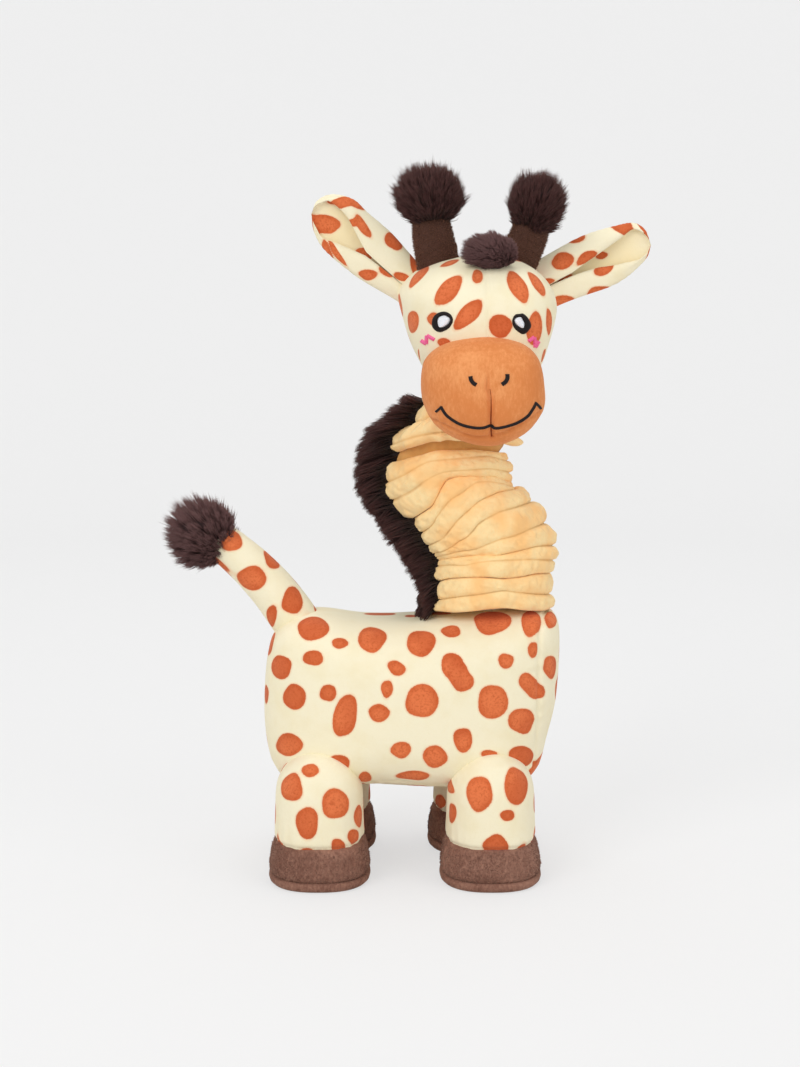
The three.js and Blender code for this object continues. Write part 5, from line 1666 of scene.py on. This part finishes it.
lookSet = {
    "cream": (249, 240, 210), "creamDeep": (243, 230, 190), "halo": (246, 212, 172),
    # The hollow colour is painted warm bounce light in the ears' hollows
    "hollowBounceLight": (255, 234, 182), "muzzleSeam": (150, 72, 36), "seamThread": (134, 66, 34),
    "spot": (231, 125, 76), "spotMid": (207, 98, 53), "spotDeep": (192, 84, 44),
    # The last corduroy colour is painted shade in the grooves between the ribs
    "corduroy": (255, 225, 168), "corduroyDeep": (255, 203, 136), "corduroyValleyShade": (238, 182, 112),
    # Painted shade of the sunken pocket under the head
    "pocketShade": (212, 158, 94),
    "muzzle": (238, 160, 102), "muzzleDeep": (220, 134, 76),
    # The tip colours of the hoof, fur, tuft and horn strands are painted highlights
    "hoof": (164, 122, 104), "hoofDeep": (116, 79, 66), "hoofTipHighlight": (176, 136, 118),
    "fur": (68, 40, 38), "furDeep": (28, 15, 15), "furTipHighlight": (112, 71, 66),
    "tuft": (108, 75, 74), "tuftDeep": (46, 28, 28), "tuftTipHighlight": (154, 117, 114),
    "horn": (120, 80, 60), "hornDeep": (76, 46, 34), "hornTipHighlight": (150, 110, 84),
    "pink": (255, 120, 175), "pinkDeep": (236, 78, 140), "black": (20, 16, 17),
    "white": (255, 255, 255), "whiteDeep": (236, 241, 252), "cord": (233, 226, 210),
    "squeaker": (223, 227, 230), "squeakerDeep": (205, 212, 216),
}


def looks(name):
    return tone(*lookSet[name])


# Short printed plush: spot edges waver by single fibres, and a thin peach halo lies round each spot
def printMaterial():
    make = Maker("printedPlush", 0.95, 0.1)
    fibre = make.noise(900, 4, rough=0.7)
    soft = make.noise(70, 3)
    wander = make.math("MULTIPLY_ADD", fibre, 0.8, -0.4)
    distance = make.math("ADD", make.attribute("spot"), wander)
    ground = make.mix(make.ramp(soft, 0.4, 0.8, 0, 0.6), looks("cream"), looks("creamDeep"))
    ground = make.mix(make.ramp(fibre, 0.5, 0.75, 0, 0.35), ground, looks("creamDeep"))
    # Painted bounce light: the marked front of each ear's hollow takes a warmer yellow
    ground = make.mix(make.math("MULTIPLY", make.attribute("paintedHollowLight"), 0.6), ground, looks("hollowBounceLight"))
    cloud = make.math("MULTIPLY_ADD", make.noise(170, 3), 1.1, -0.55)
    patch = make.math("ADD", make.ramp(distance, -3.5, -0.4, 0, 0.6), cloud)
    dye = make.mix(patch, looks("spot"), looks("spotMid"))
    dye = make.mix(make.ramp(make.noise(28, 2), 0.45, 0.62, 0, 0.5), dye, looks("spotDeep"))
    dye = make.mix(make.ramp(fibre, 0.45, 0.7, 0, 0.7), dye, looks("spotDeep"))
    halo = make.mix(make.ramp(distance, 0.1, 1.1, 0.7, 0), ground, looks("halo"))
    make.colour(make.mix(make.ramp(distance, -0.25, 0.25, 1, 0), halo, dye))
    rise = make.math("ADD", make.noise(1500, 3, rough=0.8), make.math("MULTIPLY", make.noise(350, 2), 0.8))
    make.bump(rise, 0.4, 0.3)
    make.sheen(0.15, 0.45, (1, 0.97, 0.9, 1))
    return make.material


def pileMaterial(name, main, deep, scale=700, strength=0.6, stretch=(1, 1, 1), spread=(0.35, 0.68), seam=None):
    make = Maker(name, 0.95, 0.1)
    fibre = make.noise(scale, 4, stretch, 0.75)
    cloud = make.math("MULTIPLY_ADD", make.noise(45, 2), 0.8, -0.4)
    share = make.ramp(make.math("ADD", fibre, cloud), *spread)
    body = make.mix(share, looks(deep), looks(main))
    if seam:
        body = make.mix(make.math("MULTIPLY", make.attribute("seam"), 0.8), body, looks(seam))
    make.colour(body)
    make.bump(make.math("ADD", fibre, make.noise(160, 2)), strength, 0.5)
    make.sheen(0.15, 0.4, (1, 0.85, 0.7, 1))
    return make.material


# Fur strands: darker at the root as painted shade deep in the pile, lighter towards the tip as a painted highlight,
# each strand with its own random tone
def furMaterial(name, root, main, tip, vary=0.2, sheen=0.08):
    make = Maker(name, 0.7, 0.22)
    along = make.attribute("along")
    shade = make.attribute("shade")
    # Painted shade: each strand darker towards its root
    body = make.mix(make.ramp(along, 0.1, 0.75), looks(root), looks(main))
    # Painted highlight: the outer part takes the lighter tip colour, more on some strands than others
    light = make.math("MULTIPLY", make.ramp(along, 0.55, 1), make.ramp(shade, 0.25, 1, 0.15, 0.9))
    tinted = make.mix(light, body, looks(tip))
    make.colour(make.mix(make.math("MULTIPLY", shade, vary), tinted, looks(root)))
    make.sheen(sheen, 0.4, (1, 0.85, 0.7, 1))
    return make.material


def threadMaterial(name, main, deep, roughness=0.45, specular=0.5):
    make = Maker(name, roughness, specular)
    ply = make.noise(2500, 2)
    make.colour(make.mix(make.ramp(ply, 0.35, 0.65), looks(deep), looks(main)))
    make.bump(ply, 0.3, 0.15)
    make.sheen(0.15, 0.3, (1, 1, 1, 1))
    return make.material


# Corduroy pile: painted shade darkens the valleys by the relief attribute and fills the sunken pocket under the head,
# with fine fibres across the ribs
def corduroyMaterial():
    make = Maker("corduroy", 0.95, 0.1)
    fibre = make.noise(800, 4, rough=0.75)
    soft = make.noise(60, 2)
    relief = make.attribute("relief")
    crest = make.mix(make.ramp(soft, 0.35, 0.7), looks("corduroy"), looks("corduroyDeep"))
    crest = make.mix(make.ramp(fibre, 0.45, 0.75, 0, 0.45), crest, looks("corduroyDeep"))
    # Painted shade: darker towards the grooves between the ribs, by the relief attribute
    valley = make.mix(make.ramp(relief, 0, 0.5, 0.5, 0), crest, looks("corduroyValleyShade"))
    # Painted shade: the sunken pocket under the head, marked by relief -1, takes the darker brown of its shadow
    make.colour(make.mix(make.ramp(relief, -0.9, -0.1, 1, 0), valley, looks("pocketShade")))
    make.bump(make.math("ADD", fibre, make.noise(220, 2)), 0.35, 0.4)
    make.sheen(0.5, 0.4, (1, 0.9, 0.7, 1))
    return make.material


def plasticMaterial():
    make = Maker("squeakerPlastic", 0.4, 0.5)
    cloud = make.noise(120, 2)
    make.colour(make.mix(cloud, looks("squeaker"), looks("squeakerDeep")))
    make.bump(cloud, 0.1, 0.2)
    return make.material


materials = {
    "print": printMaterial(),
    "hoof": pileMaterial("hoofPile", "hoof", "hoofDeep", 600, 0.5, (1.2, 1.2, 0.7), (0.2, 0.8)),
    "muzzle": pileMaterial("muzzlePile", "muzzle", "muzzleDeep", 520, 0.35, (1.5, 1, 0.6), (0.3, 0.85), "muzzleSeam"),
    "hornCore": pileMaterial("hornPile", "horn", "hornDeep", 700),
    # The dark core of the fur balls, forelock and mane is painted shade of the deep pile
    "furCore": pileMaterial("furCore", "furDeep", "furDeep", 700),
    "fur": furMaterial("longPile", "furDeep", "fur", "furTipHighlight"),
    "tuftFur": furMaterial("tuftPile", "tuftDeep", "tuft", "tuftTipHighlight", 0.45),
    "hornFur": furMaterial("hornStrands", "hornDeep", "horn", "hornTipHighlight"),
    "hoofFur": furMaterial("hoofStrands", "hoofDeep", "hoof", "hoofTipHighlight", 1.0),
    "corduroy": corduroyMaterial(),
    "black": threadMaterial("blackStitch", "black", "furDeep", 0.6, 0.25),
    "white": threadMaterial("whiteStitch", "white", "whiteDeep", 0.35),
    "pink": threadMaterial("pinkStitch", "pink", "pinkDeep"),
    "seam": threadMaterial("seamThread", "seamThread", "muzzleSeam", 0.9, 0.1),
    "cord": threadMaterial("elasticCord", "cord", "creamDeep", 0.8),
    "squeaker": plasticMaterial(),
}


for piece, names in dressed:
    piece.data.materials.clear()
    for name in names:
        piece.data.materials.append(materials[name])
for piece, below, above, start, end in neckPieces + manePieces:
    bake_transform(piece)

# Inner pieces that stay as the model has them get the look of what they are
for node, piece in frame["nodes"].items():
    for look in ("squeaker", "cord"):
        if look in node:
            for slot in piece.material_slots:
                slot.material = materials[look]

print("all pieces ready")
